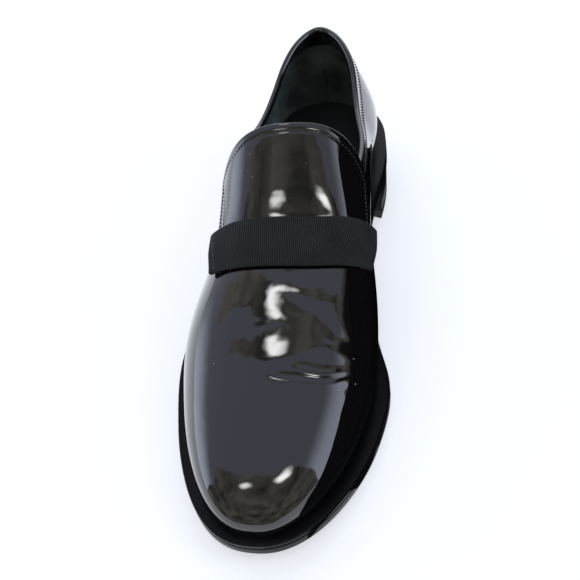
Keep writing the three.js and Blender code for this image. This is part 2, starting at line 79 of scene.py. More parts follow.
# Each row: share of the length, the width that the next two follow, inner and outer half width, tuck of
# the bottom edge, height of the widest line, and the sole's reach beyond on the inner and outer side
PLAN = (
    (0.00, HEEL_WIDTH, 0.455, 0.515, 0.050, 0.20, 0.40, 0.30),
    (0.08, HEEL_WIDTH, 0.455, 0.510, 0.050, 0.20, 0.75, 0.30),
    (0.17, HEEL_WIDTH, 0.495, 0.505, 0.050, 0.21, 1.00, 0.30),
    (0.25, BALL_WIDTH, 0.348, 0.370, 0.055, 0.22, 1.15, 0.20),
    (0.33, BALL_WIDTH, 0.365, 0.395, 0.080, 0.24, 0.10, 0.00),
    (0.41, BALL_WIDTH, 0.380, 0.427, 0.090, 0.25, -0.70, 0.10),
    (0.48, BALL_WIDTH, 0.402, 0.454, 0.080, 0.26, -0.90, 0.55),
    (0.55, BALL_WIDTH, 0.437, 0.497, 0.060, 0.28, -0.60, 0.95),
    (0.62, BALL_WIDTH, 0.463, 0.516, 0.040, 0.30, -0.15, 1.20),
    (0.69, BALL_WIDTH, 0.478, 0.507, 0.035, 0.31, 1.05, 1.25),
    (0.76, BALL_WIDTH, 0.469, 0.465, 0.035, 0.32, 1.30, 1.20),
    (0.83, BALL_WIDTH, 0.433, 0.407, 0.035, 0.32, 1.20, 1.10),
    (0.90, BALL_WIDTH, 0.395, 0.355, 0.035, 0.32, 1.00, 1.00),
    (1.00, BALL_WIDTH, 0.335, 0.295, 0.035, 0.32, 1.00, 1.00),
)
# Each row: share of the length, the crest's depth, its shift to the inner side, the section's exponent on
# the inner and outer side, and how far the inner and outer wall lean in
RIDGE = (
    (0.00, 1.300, 0.000, 3.0, 3.0, 0.10, 0.20),
    (0.27, 1.120, 0.020, 3.0, 2.9, 0.12, 0.20),
    (0.34, 1.070, 0.035, 3.0, 3.1, 0.12, 0.18),
    (0.41, 0.985, 0.055, 3.1, 3.4, 0.10, 0.17),
    (0.48, 0.890, 0.075, 3.5, 3.6, 0.06, 0.29),
    (0.55, 0.805, 0.095, 3.7, 3.5, 0.05, 0.41),
    (0.62, 0.730, 0.120, 3.4, 3.2, 0.06, 0.40),
    (0.69, 0.650, 0.135, 3.0, 3.0, 0.08, 0.36),
    (0.76, 0.565, 0.130, 2.8, 2.7, 0.08, 0.30),
    (0.83, 0.480, 0.105, 2.7, 2.6, 0.10, 0.26),
    (0.90, 0.400, 0.075, 2.6, 2.5, 0.10, 0.20),
    (1.00, 0.330, 0.030, 2.5, 2.5, 0.10, 0.12),
)
# Each row: share of the length, the collar's height over the heel seat, half width of the wall there
COLLAR = (
    (0.00, 1.000, 0.300),
    (0.05, 0.955, 0.305),
    (0.12, 0.800, 0.333),
    (0.20, 0.665, 0.388),
    (0.28, 0.615, 0.432),
    (0.36, 0.630, 0.470),
    (0.44, 0.660, 0.510),
    (0.52, 0.700, 0.550),
)
# Each row: height as a share of BACK_HEIGHT, how far the back leans in there as a share of HEEL_WIDTH
BACK_CURVE = ((0.0, 0.035), (0.45, 0.0), (0.8, 0.02), (1.0, 0.04))


def spline(table, value, unit=1.0):
    """A natural cubic through one column of a table, held level past its ends."""
    x = np.array([row[0] for row in table])
    y = np.array([value(row) for row in table]) * unit
    step = np.diff(x)
    system = np.eye(len(x))
    target = np.zeros(len(x))
    for i in range(1, len(x) - 1):
        system[i, i - 1:i + 2] = step[i - 1], 2 * (step[i - 1] + step[i]), step[i]
        target[i] = 6 * ((y[i + 1] - y[i]) / step[i] - (y[i] - y[i - 1]) / step[i - 1])
    bend = np.linalg.solve(system, target)

    def at(t):
        t = np.clip(t, x[0], x[-1])
        i = np.clip(np.searchsorted(x, t) - 1, 0, len(x) - 2)
        b = (t - x[i]) / step[i]
        a = 1 - b
        return a * y[i] + b * y[i + 1] + ((a**3 - a) * bend[i] + (b**3 - b) * bend[i + 1]) * step[i]**2 / 6
    return at


plan_inner = spline(PLAN, lambda r: r[2] * r[1])
plan_outer = spline(PLAN, lambda r: r[3] * r[1])
plan_tuck = spline(PLAN, lambda r: r[4] * r[1])
plan_widest = spline(PLAN, lambda r: r[5])
reach_inner = spline(PLAN, lambda r: r[6], WELT_REACH)
reach_outer = spline(PLAN, lambda r: r[7], WELT_REACH)
ridge_depth = spline(RIDGE, lambda r: r[1], INSTEP_DEPTH)
ridge_shift = spline(RIDGE, lambda r: r[2], BALL_WIDTH)
ridge_full = {1: spline(RIDGE, lambda r: r[3]), -1: spline(RIDGE, lambda r: r[4])}
ridge_lean = {1: spline(RIDGE, lambda r: r[5]), -1: spline(RIDGE, lambda r: r[6])}
collar_height = spline(COLLAR, lambda r: r[1], BACK_HEIGHT)
collar_half = spline(COLLAR, lambda r: r[2], HEEL_WIDTH)
back_lean = spline(BACK_CURVE, lambda r: r[1], HEEL_WIDTH)


def mix(a, b, t):
    return a + (b - a) * t


def smooth(t):
    t = np.clip(t, 0, 1)
    return t * t * (3 - 2 * t)


def soften(values, rounds):
    """Evens out a row of values in place, with its two ends held."""
    for _ in range(rounds):
        values[1:-1] = (values[2:] + 2 * values[1:-1] + values[:-2]) / 4


def end_round(v, heel_exponent):
    """The rounding of a plan outline: 1 along its middle and 0 at its very ends."""
    heel = np.clip(1 - v / HEEL_ROUND_TO, 0, 1)
    toe = np.clip((v - TOE_ROUND_FROM) / (1 - TOE_ROUND_FROM), 0, 1)
    return (1 - heel**heel_exponent)**(1 / heel_exponent) * (1 - toe**TOE_EXPONENT)**(1 / TOE_EXPONENT)


def underside(v):
    """The outsole's underside: heel height, arch, flat tread and toe spring."""
    heel = HEEL_LENGTH / LAST_LENGTH
    spring = np.clip((v - TREAD_END) / (1 - TREAD_END), 0, None)
    return HEEL_HEIGHT * (1 - smooth((v - heel) / (TREAD_START - heel))) + TOE_SPRING * spring**2


def seat(v):
    """The height of the upper's bottom edge, on the welt."""
    return underside(v) + OUTSOLE_THICKNESS + WELT_THICKNESS + 2 * GAP


def collar_top(v):
    return seat(0.0) + collar_height(v)


# The solids' origin is under the middle of the sole's outline
outline = np.linspace(0, 1, 400)
frame_low, frame_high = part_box("outsole")
outline_centre = (plan_inner(outline) - plan_outer(outline)) / 2
outline_round = end_round(outline, HEEL_EXPONENT)
sole_right = outline_centre + (plan_inner(outline) + reach_inner(outline) - outline_centre) * outline_round
sole_left = outline_centre - (plan_outer(outline) + reach_outer(outline) + outline_centre) * outline_round
MIDDLE_X = (frame_low.x + frame_high.x - sole_right.max() - sole_left.min()) / 2
MIDDLE_Y = (frame_low.y + frame_high.y + float(reach_inner(1.0) - reach_inner(0.0))) / 2


def place(x, s, z):
    """From across, along from the heel's back, and height to the frame of the solids."""
    return np.stack(np.broadcast_arrays(MIDDLE_X + x, MIDDLE_Y + LAST_LENGTH / 2 - s, z), axis=-1)


def form(v, tau, side):
    """A point on the last: v along its length, tau from the bottom edge to the crest, side 1 is inner."""
    half = plan_inner(v) if side > 0 else plan_outer(v)
    toe = np.where(v > TOE_ROUND_FROM, end_round(v, HEEL_EXPONENT), 1.0)
    depth = ridge_depth(v) * toe
    widest = plan_widest(v) * np.minimum(ridge_depth(v), INSTEP_DEPTH) * toe
    rise = np.clip((tau - WIDEST_TAU) / (1 - WIDEST_TAU), 0, 1)
    under = np.clip(tau / WIDEST_TAU, 0, 1)
    foot = half - plan_tuck(v) * (1 - under)**2
    rim = collar_top(v) - seat(v)
    up = mix(widest * under, rim + QUARTER_MARGIN, rise)
    reach = np.clip((up - widest) / (rim - widest), 0, None)
    open_x = foot + (collar_half(v) - side * COLLAR_SHIFT - half) * reach**QUARTER_BOW
    angle = rise * math.pi / 2
    power = 2 / ridge_full[side](v)
    crest = side * ridge_shift(v)
    climb = (depth - widest) * np.sin(angle)**power
    across = (foot - crest - ridge_lean[side](v) * climb) * np.clip(np.cos(angle), 0, 1)**power
    closed = smooth((v - QUARTER_END) / (INSTEP_START - QUARTER_END))
    x = mix(open_x, crest + across, closed)
    z = mix(up, widest * under + climb, closed)
    centre = side * (plan_inner(v) - plan_outer(v)) / 2
    rounding = end_round(v, mix(HEEL_EXPONENT, COLLAR_EXPONENT, rise))
    backward = back_lean(np.clip(z / BACK_HEIGHT, 0, 1)) * (1 - smooth(v / (2 * HEEL_ROUND_TO)))
    return place(side * (centre + (x - centre) * rounding), v * LAST_LENGTH + backward, seat(v) + z)


ROWS = 300
ACROSS = 70
SMOOTHING_ROUNDS = 30
row_shares = (1 - np.cos(np.linspace(0, math.pi, ROWS + 1))) / 2


def last_side(side):
    """One side of the last as a grid, rows along its length, columns at equal steps from bottom to crest."""
    fine = smooth(np.linspace(0, 1, 300))
    tau = np.concatenate([np.linspace(0, WIDEST_TAU, 60)[:-1], mix(WIDEST_TAU, 1, fine)])
    dense = form(row_shares[:, None], tau[None, :], side)
    grid = np.empty((ROWS + 1, ACROSS + 1, 3))
    for i, row in enumerate(dense):
        run = np.concatenate([[0], np.cumsum(np.linalg.norm(np.diff(row, axis=0), axis=1))])
        share = run / run[-1] if run[-1] > 0 else tau
        grid[i] = np.stack([np.interp(np.linspace(0, 1, ACROSS + 1), share, row[:, k]) for k in range(3)], 1)
    return grid


# The two sides are smoothed together, as leather on a last has no hard line, and joined at the crest
sides = [last_side(-1), last_side(1)]
closed_rows = row_shares >= INSTEP_START
for _ in range(SMOOTHING_ROUNDS):
    for grid in sides:
        grid[1:-1] += (grid[2:] + grid[:-2] - 2 * grid[1:-1]) / 4
        grid[:, 1:-1] += (grid[:, 2:] + grid[:, :-2] - 2 * grid[:, 1:-1]) / 4
    crest = (sides[0][:, -1] + sides[1][:, -1]) / 4 + (sides[0][:, -2] + sides[1][:, -2]) / 4
    for grid in sides:
        grid[closed_rows, -1] = crest[closed_rows]
last = np.concatenate([sides[0], sides[1][:, -2::-1]], axis=1)
CREST = ACROSS


def surface(v, c):
    """Points of the last at shares v of its length and columns c, 0 the outer and 2 x CREST the inner edge."""
    v, c = np.broadcast_arrays(np.asarray(v, float), np.asarray(c, float))
    r = np.arccos(np.clip(1 - 2 * v, -1, 1)) / math.pi * ROWS
    row = np.clip(r.astype(int), 0, ROWS - 1)
    col = np.clip(c.astype(int), 0, 2 * CREST - 1)

    def weights(t):
        return (-t + 2 * t**2 - t**3) / 2, (2 - 5 * t**2 + 3 * t**3) / 2, \
            (t + 4 * t**2 - 3 * t**3) / 2, (-t**2 + t**3) / 2
    found = np.zeros(v.shape + (3,))
    for i, along in enumerate(weights(r - row)):
        for j, over in enumerate(weights(c - col)):
            point = last[np.clip(row - 1 + i, 0, ROWS), np.clip(col - 1 + j, 0, 2 * CREST)]
            found += (along * over)[..., None] * point
    return found


def lifted(v, c, lift):
    """Points that stand a distance off the last, along its normal."""
    v, c = np.broadcast_arrays(np.asarray(v, float), np.asarray(c, float))
    dv, dc = 0.002, 0.35
    along = surface(np.clip(v + dv, 0, 1), c) - surface(np.clip(v - dv, 0, 1), c)
    over = surface(v, np.clip(c + dc, 0, 2 * CREST)) - surface(v, np.clip(c - dc, 0, 2 * CREST))
    normal = np.cross(along, over)
    normal /= np.maximum(np.linalg.norm(normal, axis=-1, keepdims=True), 1e-12)
    return surface(v, c) + normal * np.asarray(lift)[..., None]


def column_at_height(v, z, inner):
    """The column where one side of the section at v reaches a height."""
    columns = np.linspace(0, CREST, 4 * CREST + 1)
    if inner:
        columns = 2 * CREST - columns
    heights = surface(v, columns)[:, 2]
    return float(np.interp(z, np.maximum.accumulate(heights), columns))


def make_piece(name, points, faces, material, replaced=(), sharp=None, marks=None):
    """One named mesh that rides on the shoe's body, with its doubles merged and its faces outwards."""
    mesh = bpy.data.meshes.new(name)
    mesh.from_pydata([tuple(p) for p in np.asarray(points).reshape(-1, 3)], [], [tuple(f) for f in faces])
    for mark, values in (marks or {}).items():
        mesh.attributes.new(mark, "FLOAT", "POINT").data.foreach_set("value", np.asarray(values, float).ravel())
    work = bmesh.new()
    work.from_mesh(mesh)
    bmesh.ops.remove_doubles(work, verts=work.verts, dist=1e-6)
    bmesh.ops.dissolve_degenerate(work, edges=work.edges, dist=1e-7)
    bmesh.ops.recalc_face_normals(work, faces=work.faces)
    work.to_mesh(mesh)
    work.free()
    mesh.shade_smooth()
    if sharp is not None:
        mesh.set_sharp_from_angle(angle=math.radians(sharp))
    mesh.materials.append(material)
    piece = bpy.data.objects.new(name, mesh)
    bpy.context.scene.collection.objects.link(piece)
    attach(piece, "root")
    if replaced:
        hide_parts(*replaced)
    return piece


def grid_faces(rows, columns, ring=False, first=0):
    """Quads between rows of points; ring closes each row on itself."""
    faces = []
    for i in range(rows - 1):
        for j in range(columns if ring else columns - 1):
            k = (j + 1) % columns
            a = first + i * columns
            faces.append((a + j, a + k, a + columns + k, a + columns + j))
    return faces


def settle(piece):
    """Turns a piece's modifiers into its plain mesh, with the object's place kept."""
    bpy.context.view_layer.update()
    made = bpy.data.meshes.new_from_object(piece.evaluated_get(bpy.context.evaluated_depsgraph_get()))
    old = piece.data
    piece.modifiers.clear()
    piece.data = made
    bpy.data.meshes.remove(old)


def node_tree_tools(tree):
    """Short ways to add and join a tree's nodes."""
    def add(kind, **values):
        node = tree.nodes.new(kind)
        for key, value in values.items():
            if key.startswith("in_"):
                node.inputs[int(key[3:])].default_value = value
            else:
                setattr(node, key, value)
        return node

    def join(a, b):
        tree.links.new(a, b)
    return add, join


def new_material(name, color, roughness, coat=0.0, coat_roughness=0.03):
    """A material with its Principled shader, and ways to add nodes to it."""
    material = bpy.data.materials.new(name)
    material.use_nodes = True
    shader = material.node_tree.nodes["Principled BSDF"]
    shader.inputs["Base Color"].default_value = (*color, 1)
    shader.inputs["Roughness"].default_value = roughness
    shader.inputs["Coat Weight"].default_value = coat
    shader.inputs["Coat Roughness"].default_value = coat_roughness
    add, join = node_tree_tools(material.node_tree)
    return material, shader, add, join


def add_grain(shader, add, join, scale, detail, strength, depth):
    """A fine even grain over a material, as bump."""
    place_on = add("ShaderNodeTexCoord")
    grain = add("ShaderNodeTexNoise", in_2=scale, in_3=detail)
    join(place_on.outputs["Object"], grain.inputs["Vector"])
    bump = add("ShaderNodeBump")
    bump.inputs["Strength"].default_value = strength
    bump.inputs["Distance"].default_value = depth
    join(grain.outputs[0], bump.inputs["Height"])
    join(bump.outputs["Normal"], shader.inputs["Normal"])


# Waviness: the shared surface of every piece of patent leather. The lacquer follows the hide under it, in
# long soft waves, with a finer orange peel over them.
waviness = bpy.data.node_groups.new("lacquer_waves", "ShaderNodeTree")
waviness.interface.new_socket("Wave Length", in_out="INPUT", socket_type="NodeSocketFloat").default_value = 0.02
waviness.interface.new_socket("Wave Share", in_out="INPUT", socket_type="NodeSocketFloat").default_value = 1.0
waviness.interface.new_socket("Peel Share", in_out="INPUT", socket_type="NodeSocketFloat").default_value = 1.0
waviness.interface.new_socket("Height", in_out="OUTPUT", socket_type="NodeSocketFloat")
add, join = node_tree_tools(waviness)
group_in, group_out = add("NodeGroupInput"), add("NodeGroupOutput")
place_on = add("ShaderNodeTexCoord")
scale = add("ShaderNodeMath", operation="DIVIDE", in_0=1.0)
join(group_in.outputs["Wave Length"], scale.inputs[1])
long_waves = add("ShaderNodeTexNoise", in_3=2.0, in_4=0.45)
join(place_on.outputs["Object"], long_waves.inputs["Vector"])
join(scale.outputs[0], long_waves.inputs["Scale"])
peel = add("ShaderNodeTexNoise", in_2=900.0, in_3=1.0)
join(place_on.outputs["Object"], peel.inputs["Vector"])
wave_part = add("ShaderNodeMath", operation="MULTIPLY")
join(long_waves.outputs[0], wave_part.inputs[0])
join(group_in.outputs["Wave Share"], wave_part.inputs[1])
peel_part = add("ShaderNodeMath", operation="MULTIPLY")
join(peel.outputs[0], peel_part.inputs[0])
join(group_in.outputs["Peel Share"], peel_part.inputs[1])
both = add("ShaderNodeMath", operation="ADD")
join(wave_part.outputs[0], both.inputs[0])
join(peel_part.outputs[0], both.inputs[1])
join(both.outputs[0], group_out.inputs["Height"])

# Specks: the odd grain of dust or lint on a face, as a mask. A speck lies near the middle of some cells.
specks = bpy.data.node_groups.new("specks", "ShaderNodeTree")
specks.interface.new_socket("Cells", in_out="INPUT", socket_type="NodeSocketFloat").default_value = 140.0
specks.interface.new_socket("Radius", in_out="INPUT", socket_type="NodeSocketFloat").default_value = 0.045
specks.interface.new_socket("Mask", in_out="OUTPUT", socket_type="NodeSocketFloat")
add, join = node_tree_tools(specks)
group_in, group_out = add("NodeGroupInput"), add("NodeGroupOutput")
place_on = add("ShaderNodeTexCoord")
cells = add("ShaderNodeTexVoronoi")
join(place_on.outputs["Object"], cells.inputs["Vector"])
join(group_in.outputs["Cells"], cells.inputs["Scale"])
close = add("ShaderNodeMath", operation="LESS_THAN")
join(cells.outputs["Distance"], close.inputs[0])
join(group_in.outputs["Radius"], close.inputs[1])
chosen = add("ShaderNodeSeparateColor")
join(cells.outputs["Color"], chosen.inputs[0])
some = add("ShaderNodeMath", operation="GREATER_THAN", in_1=0.6)
join(chosen.outputs[0], some.inputs[0])
mask = add("ShaderNodeMath", operation="MULTIPLY")
join(close.outputs[0], mask.inputs[0])
join(some.outputs[0], mask.inputs[1])
join(mask.outputs[0], group_out.inputs["Mask"])

# The upper
# Vamp and quarters, one shell of black patent leather 1.3 mm thick, lasted and stuck down over the welt.
# It has walked a little: soft folds run over the ball and close up towards the inner side.
THROAT = 0.1557
THROAT_TURN = 0.012
UPPER_ACROSS = 128
# Each fold: rise off the last, half width, and its line as lengths from the heel's back and shares of the way
# over the crest, where 1 is the crest and 2 the inner bottom edge
FOLDS = (
    (0.00028, 0.0090, ((0.2211, 0.600), (0.2232, 0.758), (0.2235, 0.899), (0.2229, 1.035), (0.2214, 1.133))),
    (-0.00024, 0.0050, ((0.1948, 0.830), (0.1960, 0.907), (0.1996, 0.991), (0.2044, 1.123), (0.2104, 1.251),
                        (0.2148, 1.351), (0.2181, 1.435))),
    (0.00012, 0.0050, ((0.1894, 0.939), (0.1918, 1.043), (0.1944, 1.179), (0.1945, 1.311))),
    (0.00016, 0.0040, ((0.2229, 1.057), (0.2192, 1.127), (0.2175, 1.237), (0.2178, 1.417))),
    (-0.00010, 0.0028, ((0.2257, 0.951), (0.2246, 1.111), (0.2242, 1.257), (0.2228, 1.413))),
    (0.00017, 0.0023, ((0.2272, 0.985), (0.2295, 1.107), (0.2297, 1.265), (0.2242, 1.435))),
    (-0.00042, 0.0013, ((0.2310, 0.861), (0.2312, 0.977), (0.2317, 1.153), (0.2306, 1.321), (0.2248, 1.455))),
    (0.00018, 0.0020, ((0.2332, 0.905), (0.2345, 1.075), (0.2338, 1.249), (0.2306, 1.359), (0.2251, 1.471))),
    (0.00018, 0.0050, ((0.1962, 0.606), (0.1982, 0.682), (0.2004, 0.746))),
    (-0.00022, 0.0050, ((0.2134, 0.616), (0.2135, 0.692), (0.2124, 0.756))),
)
FOLDS_FROM = 0.165
FOLDS_TO = 0.260
FOLD_FADE = 0.3
WAVE_HEIGHT = 0.0009
PATENT_COLOR = (0.0045, 0.0045, 0.005)

patent, shader, add, join = new_material("patent_black", PATENT_COLOR, 0.05, coat=1.0, coat_roughness=0.015)
waves = add("ShaderNodeGroup", node_tree=waviness)
waves.inputs["Wave Length"].default_value = 0.016
waves.inputs["Wave Share"].default_value = 1.0
waves.inputs["Peel Share"].default_value = 0.004
bump = add("ShaderNodeBump")
bump.inputs["Strength"].default_value = 0.24
bump.inputs["Distance"].default_value = WAVE_HEIGHT
join(waves.outputs["Height"], bump.inputs["Height"])
join(bump.outputs["Normal"], shader.inputs["Normal"])
join(bump.outputs["Normal"], shader.inputs["Coat Normal"])
dust = add("ShaderNodeGroup", node_tree=specks)
dusty = add("ShaderNodeMix", data_type="RGBA", in_6=(*PATENT_COLOR, 1), in_7=(0.30, 0.30, 0.29, 1))
join(dust.outputs["Mask"], dusty.inputs[0])
join(dusty.outputs[2], shader.inputs["Base Color"])


def collar_column(row, inner):
    """The column at which a row of the last reaches the collar's edge."""
    columns = np.arange(CREST) if not inner else 2 * CREST - np.arange(CREST)
    points = last[row, columns]
    over = points[:, 2] - collar_top((MIDDLE_Y + LAST_LENGTH / 2 - points[:, 1]) / LAST_LENGTH)
    first = int(np.argmax(over > 0))
    share = over[first - 1] / (over[first - 1] - over[first])
    return mix(columns[first - 1], columns[first], share)


collar_rows = np.flatnonzero(row_shares * LAST_LENGTH < THROAT)
edge_columns = {}
for inner in (False, True):
    found = np.array([collar_column(row, inner) for row in collar_rows])
    soften(found, 10)
    edge_columns[inner] = found


def shell_columns(inner, count):
    """For every row of the last, the columns from the bottom edge up to the collar, throat or crest."""
    start, end = (2 * CREST, CREST) if inner else (0, CREST)
    top = np.full(ROWS + 1, float(end))
    turn = np.clip(1 - (THROAT - row_shares[collar_rows] * LAST_LENGTH) / THROAT_TURN, 0, 1)
    top[collar_rows] = mix(edge_columns[inner], end, 1 - np.sqrt(1 - turn**2))
    return mix(start, top[:, None], np.linspace(0, 1, count + 1)[None, :])


def shell(name, rows, count, raised, material, replaced=()):
    """A skin over the last, as a plain grid for each side, open at the collar and underneath."""
    points, faces = [], []
    shares = np.interp(rows, np.arange(ROWS + 1), row_shares)
    for inner in (False, True):
        every = shell_columns(inner, count)
        columns = np.stack([np.interp(rows, np.arange(ROWS + 1), every[:, k]) for k in range(count + 1)], 1)
        faces += grid_faces(len(rows), count + 1, first=len(points) * len(rows) * (count + 1))
        points.append(lifted(shares[:, None], columns, raised(shares[:, None], columns)))
    return make_piece(name, np.array(points), faces, material, replaced)


def distance_to(points, line):
    """How far each point lies from the nearest point of a line, and the share of the line there."""
    flat = points.reshape(-1, 3)
    least = np.full(len(flat), np.inf)
    where = np.zeros(len(flat))
    for i, (a, b) in enumerate(zip(line[:-1], line[1:])):
        share = np.clip(((flat - a) @ (b - a)) / max((b - a) @ (b - a), 1e-18), 0, 1)
        gap = np.linalg.norm(flat - a - share[:, None] * (b - a), axis=1)
        where = np.where(gap < least, (i + share) / (len(line) - 1), where)
        least = np.minimum(least, gap)
    return least.reshape(points.shape[:-1]), where.reshape(points.shape[:-1])


def folded(shares, columns):
    """The height of the walking folds at points of the vamp."""
    shares, columns = np.broadcast_arrays(shares, columns)
    height = np.zeros(shares.shape)
    near_folds = (shares * LAST_LENGTH > FOLDS_FROM) & (shares * LAST_LENGTH < FOLDS_TO)
    points = surface(shares[near_folds], columns[near_folds])
    for rise, half_width, line in FOLDS:
        knots = np.arange(len(line))
        fine = np.linspace(0, len(line) - 1, 24)
        along = spline(tuple(zip(knots, (p[0] for p in line))), lambda r: r[1])(fine)
        over = spline(tuple(zip(knots, (p[1] for p in line))), lambda r: r[1])(fine)
        gap, share = distance_to(points, surface(along / LAST_LENGTH, over * CREST))
        fade = smooth(share / FOLD_FADE) * smooth((1 - share) / FOLD_FADE)
        height[near_folds] += rise * fade * np.exp(-(gap / half_width)**2)
    return height


upper_rows = np.concatenate([np.arange(0, 171, 1.5), np.arange(171, 226, 0.42), np.arange(226, ROWS + 0.5, 1)])
shell("upper_patent", upper_rows, UPPER_ACROSS, folded, patent, ("upper",))

# The lining
# Black lining leather inside the quarters and vamp, glued to the patent, with a worn, napped face. Its outer wall is
# made lighter with painted light.
LINING_DEPTH = 0.00135
LINING_THICKNESS = 0.0005
LINING_COLOR = (0.011, 0.0135, 0.0135)
lining_leather, shader, add, join = new_material("lining_black", LINING_COLOR, 0.75)
place_on = add("ShaderNodeTexCoord")
patches = add("ShaderNodeTexNoise", in_2=45.0, in_3=4.0)
join(place_on.outputs["Object"], patches.inputs["Vector"])
wear = add("ShaderNodeValToRGB")
wear.color_ramp.elements[0].position = 0.35
wear.color_ramp.elements[0].color = (0.022, 0.029, 0.032, 1)
wear.color_ramp.elements[1].position = 0.75
wear.color_ramp.elements[1].color = (0.11, 0.145, 0.15, 1)
join(patches.outputs[0], wear.inputs[0])
axes = add("ShaderNodeSeparateXYZ")
join(place_on.outputs["Object"], axes.inputs[0])
# Painted light: the lining's colour is scaled up to 3.4 times towards the outer wall, which stands lit inside the shoe
outer_side = add("ShaderNodeMapRange", in_1=-0.012, in_2=-0.032, in_3=1.0, in_4=3.4)
join(axes.outputs[0], outer_side.inputs[0])
wear_with_painted_light = add("ShaderNodeVectorMath", operation="SCALE")
join(wear.outputs[0], wear_with_painted_light.inputs[0])
join(outer_side.outputs[0], wear_with_painted_light.inputs["Scale"])
join(wear_with_painted_light.outputs[0], shader.inputs["Base Color"])
add_grain(shader, add, join, 1400.0, 3.0, strength=0.4, depth=0.0002)
lining_rows = np.arange(0, ROWS + 1, 2)
lining = shell("lining", lining_rows, 30, lambda v, c: np.full(np.broadcast_shapes(v.shape, c.shape), -LINING_DEPTH),
               lining_leather)
thickness = lining.modifiers.new("thickness", "SOLIDIFY")
thickness.thickness = LINING_THICKNESS
thickness.offset = -1
settle(lining)

# Stitches
# Black waxed thread, one stitch every 2 mm. The tree lays a short bead of thread at each step of a line.
STITCH_PITCH = 0.0021
STITCH_LENGTH = 0.0015
THREAD_RADIUS = 0.00034
thread, shader, add, join = new_material("thread_black", (0.04, 0.04, 0.043), 0.25)
add_grain(shader, add, join, 3500.0, 2.0, strength=0.5, depth=0.00008)

stitch_tree = bpy.data.node_groups.new("stitch_row", "GeometryNodeTree")
stitch_tree.interface.new_socket("Line", in_out="INPUT", socket_type="NodeSocketGeometry")
stitch_inputs = {}
for name, value in (("Pitch", STITCH_PITCH), ("Length", STITCH_LENGTH), ("Radius", THREAD_RADIUS)):
    socket = stitch_tree.interface.new_socket(name, in_out="INPUT", socket_type="NodeSocketFloat")
    socket.default_value = value
    stitch_inputs[name] = socket.identifier
stitch_inputs["Thread"] = stitch_tree.interface.new_socket(
    "Thread", in_out="INPUT", socket_type="NodeSocketMaterial").identifier
stitch_tree.interface.new_socket("Stitches", in_out="OUTPUT", socket_type="NodeSocketGeometry")
add, join = node_tree_tools(stitch_tree)
group_in, group_out = add("NodeGroupInput"), add("NodeGroupOutput")
to_curve = add("GeometryNodeMeshToCurve")
join(group_in.outputs["Line"], to_curve.inputs[0])
steps = add("GeometryNodeResampleCurve", mode="LENGTH")
join(to_curve.outputs[0], steps.inputs["Curve"])
join(group_in.outputs["Pitch"], steps.inputs["Length"])
bead = add("GeometryNodeMeshUVSphere")
bead.inputs["Segments"].default_value = 8
bead.inputs["Rings"].default_value = 7
join(group_in.outputs["Radius"], bead.inputs["Radius"])
stretch = add("ShaderNodeMath", operation="DIVIDE")
join(group_in.outputs["Length"], stretch.inputs[0])
join(group_in.outputs["Radius"], stretch.inputs[1])
halved = add("ShaderNodeMath", operation="MULTIPLY", in_1=0.5)
join(stretch.outputs[0], halved.inputs[0])
size = add("ShaderNodeCombineXYZ", in_0=1.0, in_1=1.0)
join(halved.outputs[0], size.inputs[2])
long_bead = add("GeometryNodeTransform")
join(bead.outputs["Mesh"], long_bead.inputs["Geometry"])
join(size.outputs[0], long_bead.inputs["Scale"])
tangent = add("GeometryNodeInputTangent")
turn = add("FunctionNodeAlignRotationToVector", axis="Z")
join(tangent.outputs[0], turn.inputs["Vector"])
lay = add("GeometryNodeInstanceOnPoints")
join(steps.outputs[0], lay.inputs["Points"])
join(long_bead.outputs[0], lay.inputs["Instance"])
join(turn.outputs[0], lay.inputs["Rotation"])
real = add("GeometryNodeRealizeInstances")
join(lay.outputs[0], real.inputs[0])
finish = add("GeometryNodeSetMaterial")
join(real.outputs[0], finish.inputs["Geometry"])
join(group_in.outputs["Thread"], finish.inputs["Material"])
join(finish.outputs[0], group_out.inputs[0])


def stitch_row(name, line, pitch=STITCH_PITCH, length=STITCH_LENGTH):
    """A row of stitches along a line of points."""
    mesh = bpy.data.meshes.new(name)
    mesh.from_pydata([tuple(p) for p in line], [(i, i + 1) for i in range(len(line) - 1)], [])
    row = bpy.data.objects.new(name, mesh)
    bpy.context.scene.collection.objects.link(row)
    sew = row.modifiers.new("sew", "NODES")
    sew.node_group = stitch_tree
    sew[stitch_inputs["Pitch"]] = pitch
    sew[stitch_inputs["Length"]] = length
    sew[stitch_inputs["Radius"]] = THREAD_RADIUS
    sew[stitch_inputs["Thread"]] = thread
    settle(row)
    row.data.shade_smooth()
    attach(row, "root")


# The band
# A 25 mm grosgrain ribbon of black silk and cotton over the instep, its ends turned under and sewn down
# to the sides. Its ribs lie side by side along the shoe and give its edges a fine saw tooth, and painted shade darkens
# the valleys between them.
BAND_WIDTH = 0.025
BAND_TOP = 0.156
BAND_LIFT = 0.0021
BAND_FRONT_LIFT = 0.0009
BAND_WALL = 0.0009
BAND_DROP_BACK = 0.0205
BAND_DROP_FRONT = 0.0115
BAND_STAND = 0.0012
BAND_SKEW = 0.0045
STAND_LENGTH = 0.012
SAW_DEPTH = 0.00018
EDGE_ROUND = 0.0002
RIB_PITCH = 0.00094
RIB_HEIGHT = 0.00032
RIB_POINTS = 5
FOLD_LENGTH = 0.007
BAND_STEPS = 14

